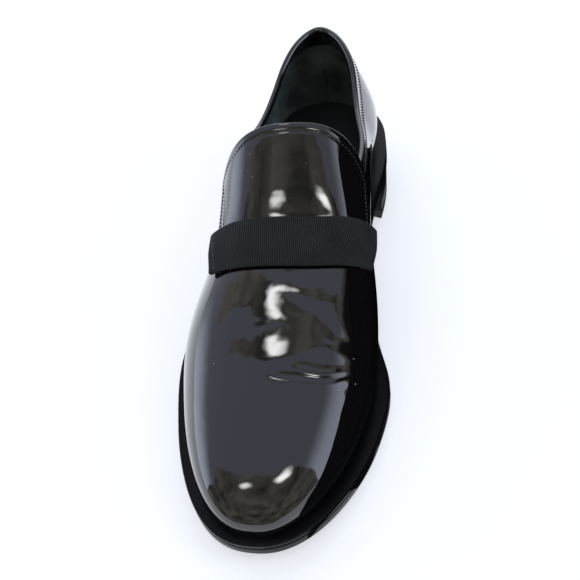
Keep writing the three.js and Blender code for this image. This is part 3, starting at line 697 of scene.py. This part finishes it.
ribbon, shader, add, join = new_material("grosgrain_black", (0.012, 0.0135, 0.0135), 0.75)
shader.inputs["Specular IOR Level"].default_value = 0.3
place_on = add("ShaderNodeTexCoord")
shade = add("ShaderNodeTexNoise", in_2=60.0, in_3=3.0)
join(place_on.outputs["Object"], shade.inputs["Vector"])
tone = add("ShaderNodeValToRGB")
tone.color_ramp.elements[0].position = 0.3
tone.color_ramp.elements[0].color = (0.022, 0.0265, 0.0275, 1)
tone.color_ramp.elements[1].position = 0.75
tone.color_ramp.elements[1].color = (0.042, 0.049, 0.051, 1)
join(shade.outputs[0], tone.inputs[0])
# Painted shade: the valleys between the ribs, read from the rib's height, are darkened nearly to black
rib_height_for_shade = add("ShaderNodeAttribute", attribute_name="rib")
between = add("ShaderNodeMapRange", in_1=0.3, in_2=0.9, in_3=0.0, in_4=1.0)
join(rib_height_for_shade.outputs["Fac"], between.inputs[0])
valley_painted_shade = add("ShaderNodeMix", data_type="RGBA", in_6=(0.001, 0.001, 0.001, 1))
join(between.outputs[0], valley_painted_shade.inputs[0])
join(tone.outputs[0], valley_painted_shade.inputs[7])
lint = add("ShaderNodeGroup", node_tree=specks)
lint.inputs["Cells"].default_value = 75.0
lint.inputs["Radius"].default_value = 0.045
linty = add("ShaderNodeMix", data_type="RGBA", in_7=(0.22, 0.23, 0.23, 1))
join(lint.outputs["Mask"], linty.inputs[0])
join(valley_painted_shade.outputs[2], linty.inputs[6])
join(linty.outputs[2], shader.inputs["Base Color"])
add_grain(shader, add, join, 2600.0, 2.0, strength=0.7, depth=0.00012)

crest_back = surface(BAND_TOP / LAST_LENGTH, CREST)
crest_front = surface((BAND_TOP + BAND_WIDTH) / LAST_LENGTH, CREST)
band_slope = math.atan2(crest_back[2] - crest_front[2], BAND_WIDTH)


def even_steps(points, values, count):
    """Values along a line of points, taken at equal steps of its length, and that length."""
    run = np.concatenate([[0], np.cumsum(np.linalg.norm(np.diff(points, axis=0), axis=1))])
    return [np.interp(np.linspace(0, run[-1], count), run, v) for v in values], run[-1]


def band_line(share, inner, count=160):
    """Where the band's line at a share of its width meets one side of the last: shares and columns."""
    start = BAND_TOP + BAND_WIDTH * math.cos(band_slope) * share
    drop = mix(BAND_DROP_BACK, BAND_DROP_FRONT, share)
    top = surface(start / LAST_LENGTH, CREST)[2]
    shares, columns = [], []
    for i in range(count + 1):
        fall = drop * (i / count)**2.4
        back = BAND_SKEW * (i / count)**1.2 if inner else 0.0
        v = (start - back - fall * math.sin(band_slope)) / LAST_LENGTH
        shares.append(v)
        columns.append(column_at_height(v, top - fall * math.cos(band_slope), inner) if i else CREST)
    return np.array(shares), np.array(columns, float)


band_lines = []
for share in np.linspace(0, 1, BAND_STEPS + 1):
    outer_v, outer_c = band_line(share, False)
    inner_v, inner_c = band_line(share, True)
    band_lines.append((np.concatenate([outer_v[::-1], inner_v[1:]]), np.concatenate([outer_c[::-1], inner_c[1:]])))
_, middle_length = even_steps(surface(*band_lines[BAND_STEPS // 2]), (), 2)
RIBS = round(middle_length / RIB_PITCH)
band_columns = RIBS * RIB_POINTS + 1
band_grid = np.empty((band_columns, BAND_STEPS + 1, 3))
band_normal = np.empty_like(band_grid)
for j, (v, c) in enumerate(band_lines):
    (v, c), _ = even_steps(surface(v, c), (v, c), band_columns)
    soften(c, 20)
    band_grid[:, j] = surface(v, c)
    band_normal[:, j] = (lifted(v, c, 0.001) - band_grid[:, j]) / 0.001
for _ in range(30):
    band_grid[:, 1:-1] = (band_grid[:, 2:] + band_grid[:, :-2]) / 2

phase = np.arange(band_columns) / RIB_POINTS
rib = RIB_HEIGHT * np.abs(np.sin(math.pi * phase))
end_share = np.abs(np.linspace(-1, 1, band_columns))
from_end = (1 - end_share) * middle_length / 2
stand = BAND_STAND * smooth(1 - from_end / STAND_LENGTH)
down = mix(BAND_LIFT, BAND_FRONT_LIFT, smooth((np.linspace(0, 1, BAND_STEPS + 1) - 0.4) / 0.6))
lie = stand[:, None] + down
top_lift = lie + BAND_WALL + rib[:, None]
low_lift = lie + rib[:, None] * 0.5
edge_lift = (top_lift + low_lift) / 2
across = band_grid[:, -1] - band_grid[:, 0]
across /= np.linalg.norm(across, axis=1, keepdims=True)
saw = SAW_DEPTH * np.abs(np.sin(math.pi * phase))[:, None] * across
top = band_grid + band_normal * top_lift[..., None]
low = band_grid + band_normal * low_lift[..., None]
back_edge = band_grid[:, 0] + band_normal[:, 0] * edge_lift[:, :1] - saw - EDGE_ROUND * across
front_edge = band_grid[:, -1] + band_normal[:, -1] * edge_lift[:, -1:] + saw + EDGE_ROUND * across
loops = np.concatenate([back_edge[:, None], top, front_edge[:, None], low[:, ::-1]], axis=1)
faces = grid_faces(band_columns, loops.shape[1], ring=True)
ring_size = loops.shape[1]
faces.append(tuple(range(ring_size)))
faces.append(tuple((band_columns - 1) * ring_size + j for j in range(ring_size)))
on_ribs = np.broadcast_to((rib / RIB_HEIGHT)[:, None], loops.shape[:2])
make_piece("band_grosgrain", loops, faces, ribbon, ("instep_band",), marks={"rib": on_ribs})

# The band's turned ends
# The last 7 mm of the ribbon are turned under at each side, so each end is two layers thick with a round
# fold at its bottom, and a row of stitches holds it to the shoe.
FOLD_GAP = 0.0001
FOLD_WALL = 0.0011
FOLD_ROUND = 0.0006
END_SEAM = 0.0045
fold_columns = int(FOLD_LENGTH / middle_length * band_columns)
for name, node, picked in (
        ("band_end_outer", "band_fold_outer", np.arange(fold_columns + 1)),
        ("band_end_inner", "band_fold_inner", band_columns - 1 - np.arange(fold_columns + 1))):
    grid, normal = band_grid[picked], band_normal[picked]
    high = low_lift[picked] - FOLD_GAP
    deep = high - FOLD_WALL
    outward = grid[0] - grid[3]
    outward /= np.linalg.norm(outward, axis=1, keepdims=True)
    wrap = [grid[0] + normal[0] * mix(high[0] + BAND_WALL, deep[0], t)[:, None]
            + outward * FOLD_ROUND * math.sin(math.pi * t)**0.7 for t in np.linspace(0, 1, 9)]
    section = np.concatenate([(grid + normal * high[..., None])[::-1], np.array(wrap),
                              (grid + normal * deep[..., None])[1:]])
    count, width = section.shape[:2]
    faces = grid_faces(count, width, ring=False)
    for j in range(width - 1):
        faces.append((j, j + 1, (count - 1) * width + j + 1, (count - 1) * width + j))
    for j in (0, width - 1):
        faces.append(tuple(i * width + j for i in range(count)))
    # The turned ends carry a middle rib height, so they take half the painted valley shade all over
    make_piece(name, section, faces, ribbon, (node,), sharp=50,
               marks={"rib": np.full(section.shape[:2], 0.6)})
    seam = int(END_SEAM / middle_length * band_columns)
    seam = picked[0] + (seam if picked[1] > picked[0] else -seam)
    stitch_row(name + "_stitches", top[seam][1:-1], pitch=0.0026, length=0.0018)

# The tongue
# A high flap of patent leather over the instep, lined, its edge turned under and sewn all round, so that
# a soft lip stands outside the stitch row. Its front end lies under the band.
TONGUE_TOP = 0.115
TONGUE_END = 0.167
TONGUE_UNDER_BAND = 0.4
TONGUE_TUCK = 1.2
TONGUE_WALL = 0.0015
TONGUE_LIFT = 0.0003
TONGUE_SEAM = 0.0045
LIP_HEIGHT = 0.00022
SEAM_DEPTH = 0.0002
SEAM_HALF = 0.0006
DIP_START = 0.140
DIP_DEPTH = 0.0008
DIP_LENGTH = 0.012
DIP_EDGE = 0.018
FLARE_HEIGHT = 0.0014
FLARE_END = 0.155
# Each row: share of the way from the tongue's top to its end, drop of its edge as a share of the depth
TONGUE_EDGE = ((0.0, 0.0), (0.02, 0.13), (0.05, 0.26), (0.12, 0.40), (0.25, 0.515), (0.45, 0.575), (1.0, 0.605))

tongue_drop = spline(TONGUE_EDGE, lambda r: r[1], float(ridge_depth(TONGUE_TOP / LAST_LENGTH)))
tongue_apex = surface(TONGUE_TOP / LAST_LENGTH, CREST)[2]
EDGE_STEPS = 130


def tongue_edge(inner):
    """The tongue's edge on one side, from its apex down to the band, as shares and columns of the last."""
    shares, columns = [], []
    for i in range(EDGE_STEPS + 1):
        along = (i / EDGE_STEPS)**2.6
        v = mix(TONGUE_TOP, TONGUE_END, along) / LAST_LENGTH
        shares.append(v)
        columns.append(column_at_height(v, tongue_apex - float(tongue_drop(along)), inner) if i else CREST)
    return np.array(shares), np.array(columns, float)


outer_shares, outer_columns = tongue_edge(False)
inner_shares, inner_columns = tongue_edge(True)
edge_v = np.concatenate([outer_shares[::-1], inner_shares[1:]])
edge_c = np.concatenate([outer_columns[::-1], inner_columns[1:]])
soften(edge_v, 6)
soften(edge_c, 6)
under_v, under_c = band_lines[round(TONGUE_UNDER_BAND * BAND_STEPS)]
low_c, high_c = under_c[0] + TONGUE_TUCK, under_c[-1] - TONGUE_TUCK
edge_c = np.where(edge_c < low_c, low_c + (edge_c - low_c) * 0.1, edge_c)
edge_c = np.where(edge_c > high_c, high_c + (edge_c - high_c) * 0.1, edge_c)
keep = edge_v < np.interp(edge_c, under_c, under_v)
edge_v, edge_c = edge_v[keep], edge_c[keep]
TONGUE_COLUMNS = 261
(edge_v, edge_c), _ = even_steps(surface(edge_v, edge_c), (edge_v, edge_c), TONGUE_COLUMNS)
NEAR_ROWS = 30
FAR_ROWS = 26
NEAR_DEPTH = 0.008
near = NEAR_DEPTH * np.linspace(0, 1, NEAR_ROWS + 1)**1.2
front = np.interp(edge_c, under_c, under_v)
tongue_v = np.empty((TONGUE_COLUMNS, NEAR_ROWS + FAR_ROWS + 1))
for i, v in enumerate(edge_v):
    depth = min(NEAR_DEPTH, max(front[i] - v, 0.0002) * LAST_LENGTH * NEAR_ROWS / (NEAR_ROWS + FAR_ROWS))
    close = v + near / NEAR_DEPTH * depth / LAST_LENGTH
    tongue_v[i] = np.concatenate([close, np.linspace(close[-1], max(front[i], v + 0.0002), FAR_ROWS + 1)[1:]])
edge_points = surface(edge_v, edge_c)

from_edge, _ = distance_to(surface(tongue_v, edge_c[:, None]), edge_points)
half_wall = TONGUE_WALL / 2
edge_fall = half_wall * (1 - np.sqrt(1 - np.clip(1 - from_edge / half_wall, 0, 1)**2))
lip = LIP_HEIGHT * np.sin(math.pi * np.clip(from_edge / TONGUE_SEAM, 0, 1))**0.8
groove = SEAM_DEPTH * np.exp(-((from_edge - TONGUE_SEAM) / SEAM_HALF)**2)
pressed = np.clip((tongue_v * LAST_LENGTH - DIP_START) / DIP_LENGTH, 0, 1.3)**2 * smooth(from_edge / DIP_EDGE)
flare = FLARE_HEIGHT * np.clip((FLARE_END - tongue_v * LAST_LENGTH) / (FLARE_END - TONGUE_TOP), 0, 1)
rest = TONGUE_LIFT + flare - DIP_DEPTH * pressed
outside = lifted(tongue_v, edge_c[:, None], rest + TONGUE_WALL - edge_fall + lip - groove)
inside = lifted(tongue_v, edge_c[:, None], rest + edge_fall)
loops = np.concatenate([outside[:, ::-1], inside[:, 1:]], axis=1)
faces = grid_faces(TONGUE_COLUMNS, loops.shape[1], ring=True)
make_piece("tongue_patent", loops, faces, patent, ("tongue",))

sewn = (from_edge.max(axis=1) > TONGUE_SEAM) & (edge_c > under_c[0]) & (edge_c < under_c[-1])
sewn = np.nonzero(sewn)[0]
seam_points = [outside[sewn[0], -1]]
for i in sewn:
    far = max(int(np.argmax(from_edge[i] > TONGUE_SEAM)), 1)
    share = (TONGUE_SEAM - from_edge[i, far - 1]) / (from_edge[i, far] - from_edge[i, far - 1])
    seam_points.append(mix(outside[i, far - 1], outside[i, far], share))
seam_points.append(outside[sewn[-1], -1])
stitch_row("tongue_stitches", seam_points)

# The collar
# The patent is rolled over a cord along the collar's edge and carries on inside as a 7 mm facing. The
# roll is sewn 3 mm below it, and its ends run in under the tongue.
ROLL_RADIUS = 0.0018
ROLL_HEIGHT = 0.0019
ROLL_INSET = 0.0010
FACING_DEPTH = 0.0075
FACING_INSET = 0.0021
FACING_WALL = 0.0004
COLLAR_SEAM = 0.0030
COLLAR_STOP = 0.140
COLLAR_TUCK = 0.0022
TUCK_STEPS = 60

collar_v = row_shares[collar_rows]
keep = collar_v * LAST_LENGTH < COLLAR_STOP
collar_v = collar_v[keep]
outer_c, inner_c = edge_columns[False][keep], edge_columns[True][keep]
outer_edge, inner_edge = surface(collar_v, outer_c), surface(collar_v, inner_c)
outer_up = surface(collar_v, outer_c + 1) - surface(collar_v, outer_c - 1)
inner_up = surface(collar_v, inner_c - 1) - surface(collar_v, inner_c + 1)
path = np.concatenate([outer_edge[::-1], inner_edge[1:]])
up = np.concatenate([outer_up[::-1], inner_up[1:]])
COLLAR_STEPS = 300
run = np.concatenate([[0], np.cumsum(np.linalg.norm(np.diff(path, axis=0), axis=1))])
even = np.linspace(0, run[-1], COLLAR_STEPS)
path = np.stack([np.interp(even, run, path[:, k]) for k in range(3)], 1)
up = np.stack([np.interp(even, run, up[:, k]) for k in range(3)], 1)
soften(path, 12)
soften(up, 12)
ahead = np.gradient(path, axis=0)
ahead /= np.linalg.norm(ahead, axis=1, keepdims=True)
up -= ahead * np.sum(up * ahead, axis=1, keepdims=True)
up /= np.linalg.norm(up, axis=1, keepdims=True)
out = np.cross(up, ahead)
if (out[COLLAR_STEPS // 2] @ np.array([0, 1, 0])) < 0:
    out = -out

profile = [(0.00005, -0.0016), (0.0004, -0.0010)]
for degrees in range(-25, 206, 15):
    a = math.radians(degrees)
    profile.append((-ROLL_INSET + ROLL_RADIUS * math.cos(a), ROLL_HEIGHT + ROLL_RADIUS * math.sin(a)))
profile += [(-FACING_INSET - FACING_WALL, 0.0002), (-FACING_INSET - FACING_WALL, -FACING_DEPTH * 0.5),
            (-FACING_INSET - FACING_WALL, -FACING_DEPTH + 0.0003), (-FACING_INSET - 0.0001, -FACING_DEPTH),
            (-FACING_INSET, -FACING_DEPTH * 0.5), (-FACING_INSET, 0.0)]
tuck = np.linspace(1, 0, TUCK_STEPS)**2
tuck = np.concatenate([tuck, np.zeros(COLLAR_STEPS - 2 * TUCK_STEPS), tuck[::-1]]) * COLLAR_TUCK
rings = np.array([path + out * (x - tuck)[:, None] + up * y for x, y in profile]).transpose(1, 0, 2)
faces = grid_faces(COLLAR_STEPS, len(profile), ring=True)
faces.append(tuple(range(len(profile))))
faces.append(tuple((COLLAR_STEPS - 1) * len(profile) + j for j in range(len(profile))))
make_piece("collar_roll", rings, faces, patent, ("collar_piping",))
stitch_row("collar_stitches", path[20:-20] + up[20:-20] * -COLLAR_SEAM + out[20:-20] * 0.0001)

# The sole
# A thin leather outsole and welt, edges dyed and polished black, follow the upper's outline with the
# arch and the toe spring. The heel is a stack of lifts on a rubber top piece.
SOLE_BEVEL = 0.0009
WELT_ROUND = 0.0008
WELT_WIDTH = 0.016
HEEL_TAPER = 0.0009
BREAST_HOLLOW = 0.004
TOP_PIECE = 0.006
SOLE_STEPS = 220

sole_edge, shader, add, join = new_material("sole_edge_black", (0.004, 0.004, 0.005), 0.3)
shader.inputs["Specular IOR Level"].default_value = 0.14
add_grain(shader, add, join, 1100.0, 3.0, strength=0.25, depth=0.0001)


def sole_point(v, side, inset, rise):
    """A point of the sole's plan outline, inset from its edge, at a height over the underside."""
    half = (plan_inner(v) + reach_inner(v) if side > 0 else plan_outer(v) + reach_outer(v)) - inset
    centre = side * (plan_inner(v) - plan_outer(v)) / 2
    overhang = mix(reach_inner(0.0), reach_inner(1.0), v) - inset
    s = v * LAST_LENGTH + overhang * (2 * v - 1)
    return place(side * (centre + (half - centre) * end_round(v, HEEL_EXPONENT)), s, underside(s / LAST_LENGTH) + rise)


sole_v = (1 - np.cos(np.linspace(0, math.pi, SOLE_STEPS + 1))) / 2


def sole_rings(profile):
    """Sections across the sole, each up its inner edge and down its outer edge."""
    inner_side = [sole_point(sole_v, 1, inset, rise) for inset, rise in profile]
    outer_side = [sole_point(sole_v, -1, inset, rise) for inset, rise in profile[::-1]]
    return np.array(inner_side + outer_side).transpose(1, 0, 2)


edge_arc = [(SOLE_BEVEL * (1 - math.cos(a)), SOLE_BEVEL * math.sin(a)) for a in np.linspace(0, math.pi / 2, 5)]
outsole_profile = [(SOLE_BEVEL, 0.0)] + [(i, SOLE_BEVEL - r) for i, r in edge_arc[::-1]] + [
    (0.0, OUTSOLE_THICKNESS - 0.0004), (0.0003, OUTSOLE_THICKNESS)]
rings = sole_rings(outsole_profile)
make_piece("outsole_leather", rings, grid_faces(SOLE_STEPS + 1, rings.shape[1], ring=True), sole_edge,
           ("outsole",), sharp=40)

welt_low = OUTSOLE_THICKNESS + GAP
welt_high = welt_low + WELT_THICKNESS
welt_profile = [(WELT_ROUND / 2, welt_low), (0.0, welt_low + WELT_ROUND / 2), (0.0, welt_high - WELT_ROUND)]
welt_profile += [(WELT_ROUND * (1 - math.cos(a)), welt_high - WELT_ROUND * (1 - math.sin(a)))
                 for a in np.linspace(0.3, math.pi / 2, 5)]
welt_profile += [(WELT_WIDTH, welt_high), (WELT_WIDTH, welt_low)]
inner_side = np.array([sole_point(sole_v, 1, i, r) for i, r in welt_profile]).transpose(1, 0, 2)
outer_side = np.array([sole_point(sole_v[-2:0:-1], -1, i, r) for i, r in welt_profile]).transpose(1, 0, 2)
rings = np.concatenate([inner_side, outer_side, inner_side[:1]])
make_piece("welt_leather", rings, grid_faces(len(rings), rings.shape[1], ring=True), sole_edge,
           ("welt",), sharp=40)

# The insole
# A leather sock over the insole board, which fills the bottom between the walls.
SOCK_THICKNESS = 0.003
UPPER_WALL = 0.0019
sock_v = (1 - np.cos(np.linspace(0, math.pi, 121))) / 2
sock_profile = ((0.0, 0.0), (0.0, 0.0018), (0.0006, 0.0026), (0.0016, 0.003), (0.008, 0.0028))


def sock_point(v, side, inset, rise):
    half = (plan_inner(v) - plan_tuck(v) if side > 0 else plan_outer(v) - plan_tuck(v)) - UPPER_WALL - GAP - inset
    centre = side * (plan_inner(v) - plan_outer(v)) / 2
    back = back_lean(0.0) * (1 - smooth(v / (2 * HEEL_ROUND_TO)))
    margin = UPPER_WALL + GAP + inset
    s = margin + v * (LAST_LENGTH - 2 * margin) + back
    return place(side * (centre + (half - centre) * end_round(v, HEEL_EXPONENT)), s, seat(s / LAST_LENGTH) + rise)


rings = np.array([sock_point(sock_v, 1, i, r) for i, r in sock_profile]
                 + [sock_point(sock_v, -1, i, r) for i, r in sock_profile[::-1]]).transpose(1, 0, 2)
sock_black, shader, add, join = new_material("sock_black", (0.014, 0.018, 0.019), 0.7)
shader.inputs["Specular IOR Level"].default_value = 0.2
make_piece("sock_leather", rings, grid_faces(len(sock_v), rings.shape[1], ring=True), sock_black,
           ("insole",), sharp=60)

# The heel
# Leather lifts under the seat, edges polished like the sole's, with a hollowed front, on a rubber piece.
heel_share = HEEL_LENGTH / LAST_LENGTH
heel_v = heel_share * (1 - np.cos(np.linspace(0, math.pi / 2, 60)))
rubber, shader, add, join = new_material("heel_rubber_black", (0.012, 0.012, 0.012), 0.6)
add_grain(shader, add, join, 1500.0, 2.0, strength=0.4, depth=0.0001)


def heel_loop(z, extra):
    """The heel's outline at a height: round its back, and a hollow front."""
    inset = SOLE_BEVEL / 2 + HEEL_TAPER * (1 - z / HEEL_HEIGHT) + extra
    inner_side = sole_point(heel_v, 1, inset, 0.0)
    outer_side = sole_point(heel_v, -1, inset, 0.0)
    a, b = outer_side[-1], inner_side[-1]
    t = np.linspace(0, 1, 26)[1:-1, None]
    front = mix(a, b, t)
    front[:, 1] += BREAST_HOLLOW * (1 - (2 * t[:, 0] - 1)**2) + extra
    loop = np.concatenate([inner_side[::-1], outer_side[1:], front])
    loop[:, 2] = z
    return loop


def heel_block(name, low, high, seams, material, replaced):
    """A block of the heel between two heights, with a fine line at each seam between lifts."""
    levels = [(low, 0.0006), (low + 0.0004, 0.0001), (low + 0.0009, 0.0)]
    for seam in seams:
        levels += [(seam - 0.0002, 0.0), (seam, 0.00018), (seam + 0.0002, 0.0)]
    levels += [(high - 0.0003, 0.0), (high, 0.0002)]
    rings = np.array([heel_loop(z, extra) for z, extra in levels])
    faces = grid_faces(len(levels), rings.shape[1], ring=True)
    faces.append(tuple(range(rings.shape[1])))
    faces.append(tuple((len(levels) - 1) * rings.shape[1] + j for j in range(rings.shape[1])))
    return make_piece(name, rings, faces, material, (replaced,), sharp=35)


heel_block("heel_lifts", TOP_PIECE, HEEL_HEIGHT - GAP, (0.0113, 0.0166), sole_edge, "heel_stack")
heel_block("heel_rubber", 0.0, TOP_PIECE - GAP, (), rubber, "heel_top_piece")

# The studio
# A pale floor, a light behind and three soft ones overhead that give the bright glints.
FLOOR_SIZE = 6.0
FLOOR_COLOR = (0.80, 0.82, 0.86)
FLOOR_GLOW = 0.57
floor_mesh = bpy.data.meshes.new("floor")
half = FLOOR_SIZE / 2
floor_mesh.from_pydata([(-half, -half, 0), (half, -half, 0), (half, half, 0), (-half, half, 0)], [], [(0, 1, 2, 3)])
floor_paint, shader, add, join = new_material("floor_paint", FLOOR_COLOR, 0.8)
shader.inputs["Specular IOR Level"].default_value = 0.0
shader.inputs["Emission Color"].default_value = (0.94, 0.96, 1.0, 1)
shader.inputs["Emission Strength"].default_value = FLOOR_GLOW
floor_mesh.materials.append(floor_paint)
floor = bpy.data.objects.new("floor", floor_mesh)
bpy.context.scene.collection.objects.link(floor)

# The room: a dim grey ceiling from side to side over the shoe, and the darker room before and behind it
CEILING_COLOR = (0.50, 0.54, 0.655, 1)
ROOM_COLOR = (0.325, 0.315, 0.27, 1)
CORNER_COLOR = (0.02, 0.02, 0.02, 1)
BACKDROP_COLOR = (0.86, 0.89, 0.94, 1)
world = bpy.data.worlds.new("studio")
bpy.context.scene.world = world
world.use_nodes = True
add, join = node_tree_tools(world.node_tree)
background = world.node_tree.nodes["Background"]
heading = add("ShaderNodeTexCoord")
axes = add("ShaderNodeSeparateXYZ")
join(heading.outputs["Generated"], axes.inputs[0])
unrest = add("ShaderNodeTexNoise", in_2=3.5, in_3=3.0)
join(heading.outputs["Generated"], unrest.inputs["Vector"])


def calc(operation, *values):
    """A maths node over numbers and other nodes' outputs."""
    node = add("ShaderNodeMath", operation=operation)
    for i, value in enumerate(values):
        if isinstance(value, (int, float)):
            node.inputs[i].default_value = value
        else:
            join(value, node.inputs[i])
    return node.outputs[0]


def step_up(value, low, high):
    """0 below low and 1 above high, with a soft step between."""
    node = add("ShaderNodeMapRange", interpolation_type="SMOOTHSTEP", in_1=low, in_2=high)
    join(value, node.inputs[0])
    return node.outputs[0]


to_side, to_back = axes.outputs[0], axes.outputs[1]
ragged = calc("ADD", to_back, calc("MULTIPLY", calc("SUBTRACT", unrest.outputs[0], 0.5), 0.03))
left_of = calc("MAXIMUM", calc("SUBTRACT", calc("MULTIPLY", to_side, -1.0), 0.15), 0.0)
left_of = calc("MULTIPLY", left_of, step_up(to_side, -0.88, -0.76))
right_of = calc("MAXIMUM", to_side, 0.0)
before = calc("ADD", calc("SUBTRACT", ragged, calc("MULTIPLY", left_of, 0.18)), calc("MULTIPLY", right_of, 0.10))
not_before = step_up(before, -0.185, -0.165)
far_left = calc("MAXIMUM", calc("SUBTRACT", calc("MULTIPLY", to_side, -1.0), 0.30), 0.0)
behind = step_up(calc("SUBTRACT", ragged, calc("MULTIPLY", far_left, 0.14)), 0.152, 0.162)
beyond = step_up(calc("SUBTRACT", ragged, calc("MULTIPLY", far_left, 0.25)), 0.236, 0.246)
beyond = calc("MULTIPLY", beyond, calc("SUBTRACT", 1.0, step_up(to_side, 0.42, 0.52)))
centre = step_up(to_side, -0.84, -0.78)
not_behind = calc("SUBTRACT", 1.0, calc("MULTIPLY", calc("SUBTRACT", behind, beyond), centre))
mask = calc("MULTIPLY", not_before, not_behind)
corner = calc("MULTIPLY", step_up(to_side, 0.50, 0.62), step_up(ragged, 0.18, 0.22))
dark = add("ShaderNodeMix", data_type="RGBA", in_6=ROOM_COLOR, in_7=CORNER_COLOR)
join(corner, dark.inputs[0])
paint = add("ShaderNodeMix", data_type="RGBA", in_7=CEILING_COLOR)
join(mask, paint.inputs[0])
join(dark.outputs[2], paint.inputs[6])
seen_at = add("ShaderNodeLightPath")
seen = add("ShaderNodeMix", data_type="RGBA", in_7=BACKDROP_COLOR)
join(seen_at.outputs["Is Camera Ray"], seen.inputs[0])
join(paint.outputs[2], seen.inputs[6])
join(seen.outputs[2], background.inputs[0])
toward_left = calc("MULTIPLY", step_up(to_side, -0.86, -1.0), 3.0)
toward_right = calc("MULTIPLY", step_up(to_side, 0.42, 0.90), 2.7)
less_behind = calc("SUBTRACT", 1.0, calc("MULTIPLY", step_up(to_back, 0.35, 0.55), 0.65))
toward_right = calc("MULTIPLY", toward_right, less_behind)
clouds = add("ShaderNodeTexNoise", in_2=4.5, in_3=2.0)
join(heading.outputs["Generated"], clouds.inputs["Vector"])
uneven = add("ShaderNodeMapRange", in_1=0.32, in_2=0.68, in_3=0.40, in_4=1.75)
join(clouds.outputs[0], uneven.inputs[0])
indoors = calc("SUBTRACT", 1.0, mask)
shaded = calc("ADD", mask, calc("MULTIPLY", indoors, uneven.outputs[0]))
brighter = calc("ADD", shaded, calc("MULTIPLY", mask, calc("ADD", toward_left, toward_right)))
not_seen = calc("SUBTRACT", 1.0, seen_at.outputs["Is Camera Ray"])
brighter = calc("ADD", calc("MULTIPLY", brighter, not_seen), seen_at.outputs["Is Camera Ray"])
join(brighter, background.inputs[1])


def softbox(name, place_at, aim_at, width, height, power, soft=True):
    """An area light, its width across the shoe. A soft one is an ellipse that fades towards its rim."""
    light = bpy.data.lights.new(name, "AREA")
    light.shape = "ELLIPSE" if soft else "RECTANGLE"
    light.size = width
    light.size_y = height
    light.energy = power
    if soft:
        light.use_nodes = True
        add, join = node_tree_tools(light.node_tree)
        on_light = add("ShaderNodeNewGeometry")
        from_centre = add("ShaderNodeVectorMath", operation="DISTANCE", in_1=(0.5, 0.5, 0.0))
        join(on_light.outputs["Parametric"], from_centre.inputs[0])
        fading = add("ShaderNodeMapRange", interpolation_type="SMOOTHSTEP", in_1=0.5, in_2=0.12)
        join(from_centre.outputs["Value"], fading.inputs[0])
        join(fading.outputs[0], light.node_tree.nodes["Emission"].inputs["Strength"])
    lamp = bpy.data.objects.new(name, light)
    lamp.location = place_at
    away = (Vector(place_at) - Vector(aim_at)).normalized()
    across_it = Vector((0, 1, 0)).cross(away).normalized()
    lamp.rotation_euler = Matrix((across_it, away.cross(across_it), away)).transposed().to_euler()
    bpy.context.scene.collection.objects.link(lamp)


def toward(direction, distance, start=(0.0, -0.03, 0.07)):
    """A place at a distance from the shoe in a direction."""
    return tuple(Vector(start) + Vector(direction).normalized() * distance)


softbox("back_light", toward((0.0, 0.80, 0.60), 1.7), (0, 0, 0), 1.6, 0.8, 3.0, soft=False)
softbox("window_left", toward((-0.345, -0.325, 0.88), 1.5), (0, 0, 0.05), 0.30, 0.17, 0.95)
softbox("window_right", toward((0.10, -0.30, 0.945), 1.5), (0, 0, 0.05), 0.60, 0.19, 3.00)
softbox("lamp_back", toward((-0.30, 0.187, 0.935), 1.5), (0, 0, 0.05), 0.26, 0.15, 0.95)

# A black flag stands close by the inner side. It is seen only in reflections, as the dark strip there.
FLAG_LINE = ((-0.140, 0.018), (-0.110, 0.040), (-0.092, 0.050), (-0.080, 0.052), (-0.066, 0.053), (-0.056, 0.066),
             (-0.044, 0.069), (-0.034, 0.083), (-0.022, 0.086), (-0.010, 0.098), (0.025, 0.116), (0.050, 0.105),
             (0.085, 0.085), (0.110, 0.060))
FLAG_CLEAR = 0.0012
FLAG_PLACE = ((0.0, 0.0), (0.004, 0.35), (0.012, 0.7), (0.028, 1.0))
flag_points = []
for y, z in FLAG_LINE:
    share = max((MIDDLE_Y + LAST_LENGTH / 2 - y) / LAST_LENGTH, 0.1)
    foot = sole_point(np.array(share), 1, -FLAG_CLEAR, 0.0)[0]
    flag_points += [(foot + x, y, z * up + 0.0005) for x, up in FLAG_PLACE]
flag_mesh = bpy.data.meshes.new("flag")
flag_mesh.from_pydata(flag_points, [], grid_faces(len(FLAG_LINE), len(FLAG_PLACE)))
black_cloth, shader, add, join = new_material("black_cloth", (0.003, 0.003, 0.003), 1.0)
shader.inputs["Specular IOR Level"].default_value = 0.0
flag_mesh.materials.append(black_cloth)
flag = bpy.data.objects.new("flag", flag_mesh)
bpy.context.scene.collection.objects.link(flag)
flag.visible_camera = False
flag.visible_shadow = False
flag.visible_diffuse = False
flag.visible_transmission = False

# The camera stands where the photograph's stood, over the toe, and is turned to take in the whole shoe
CAMERA_PLACE = (0.0860, -0.2812, 0.3092)
CAMERA_HEADING = 7.10
CAMERA_DOWN = 43.975
CAMERA_ROLL = -4.393
TURN_LEFT = 7.4
TURN_DOWN = 2.6
CAMERA_LENS = 48.5
camera_data = bpy.data.cameras.new("camera")
camera_data.lens = CAMERA_LENS
camera_data.sensor_width = 36
camera_data.clip_start = 0.01
camera = bpy.data.objects.new("camera", camera_data)
camera.location = CAMERA_PLACE
turned = (Matrix.Rotation(math.radians(CAMERA_HEADING), 3, "Z")
          @ Matrix.Rotation(math.radians(90 - CAMERA_DOWN), 3, "X")
          @ Matrix.Rotation(math.radians(CAMERA_ROLL), 3, "Z")
          @ Matrix.Rotation(math.radians(TURN_LEFT), 3, "Y") @ Matrix.Rotation(math.radians(-TURN_DOWN), 3, "X"))
camera.rotation_euler = turned.to_euler()
bpy.context.scene.collection.objects.link(camera)
bpy.context.scene.camera = camera
bpy.context.scene.view_settings.view_transform = "Standard"
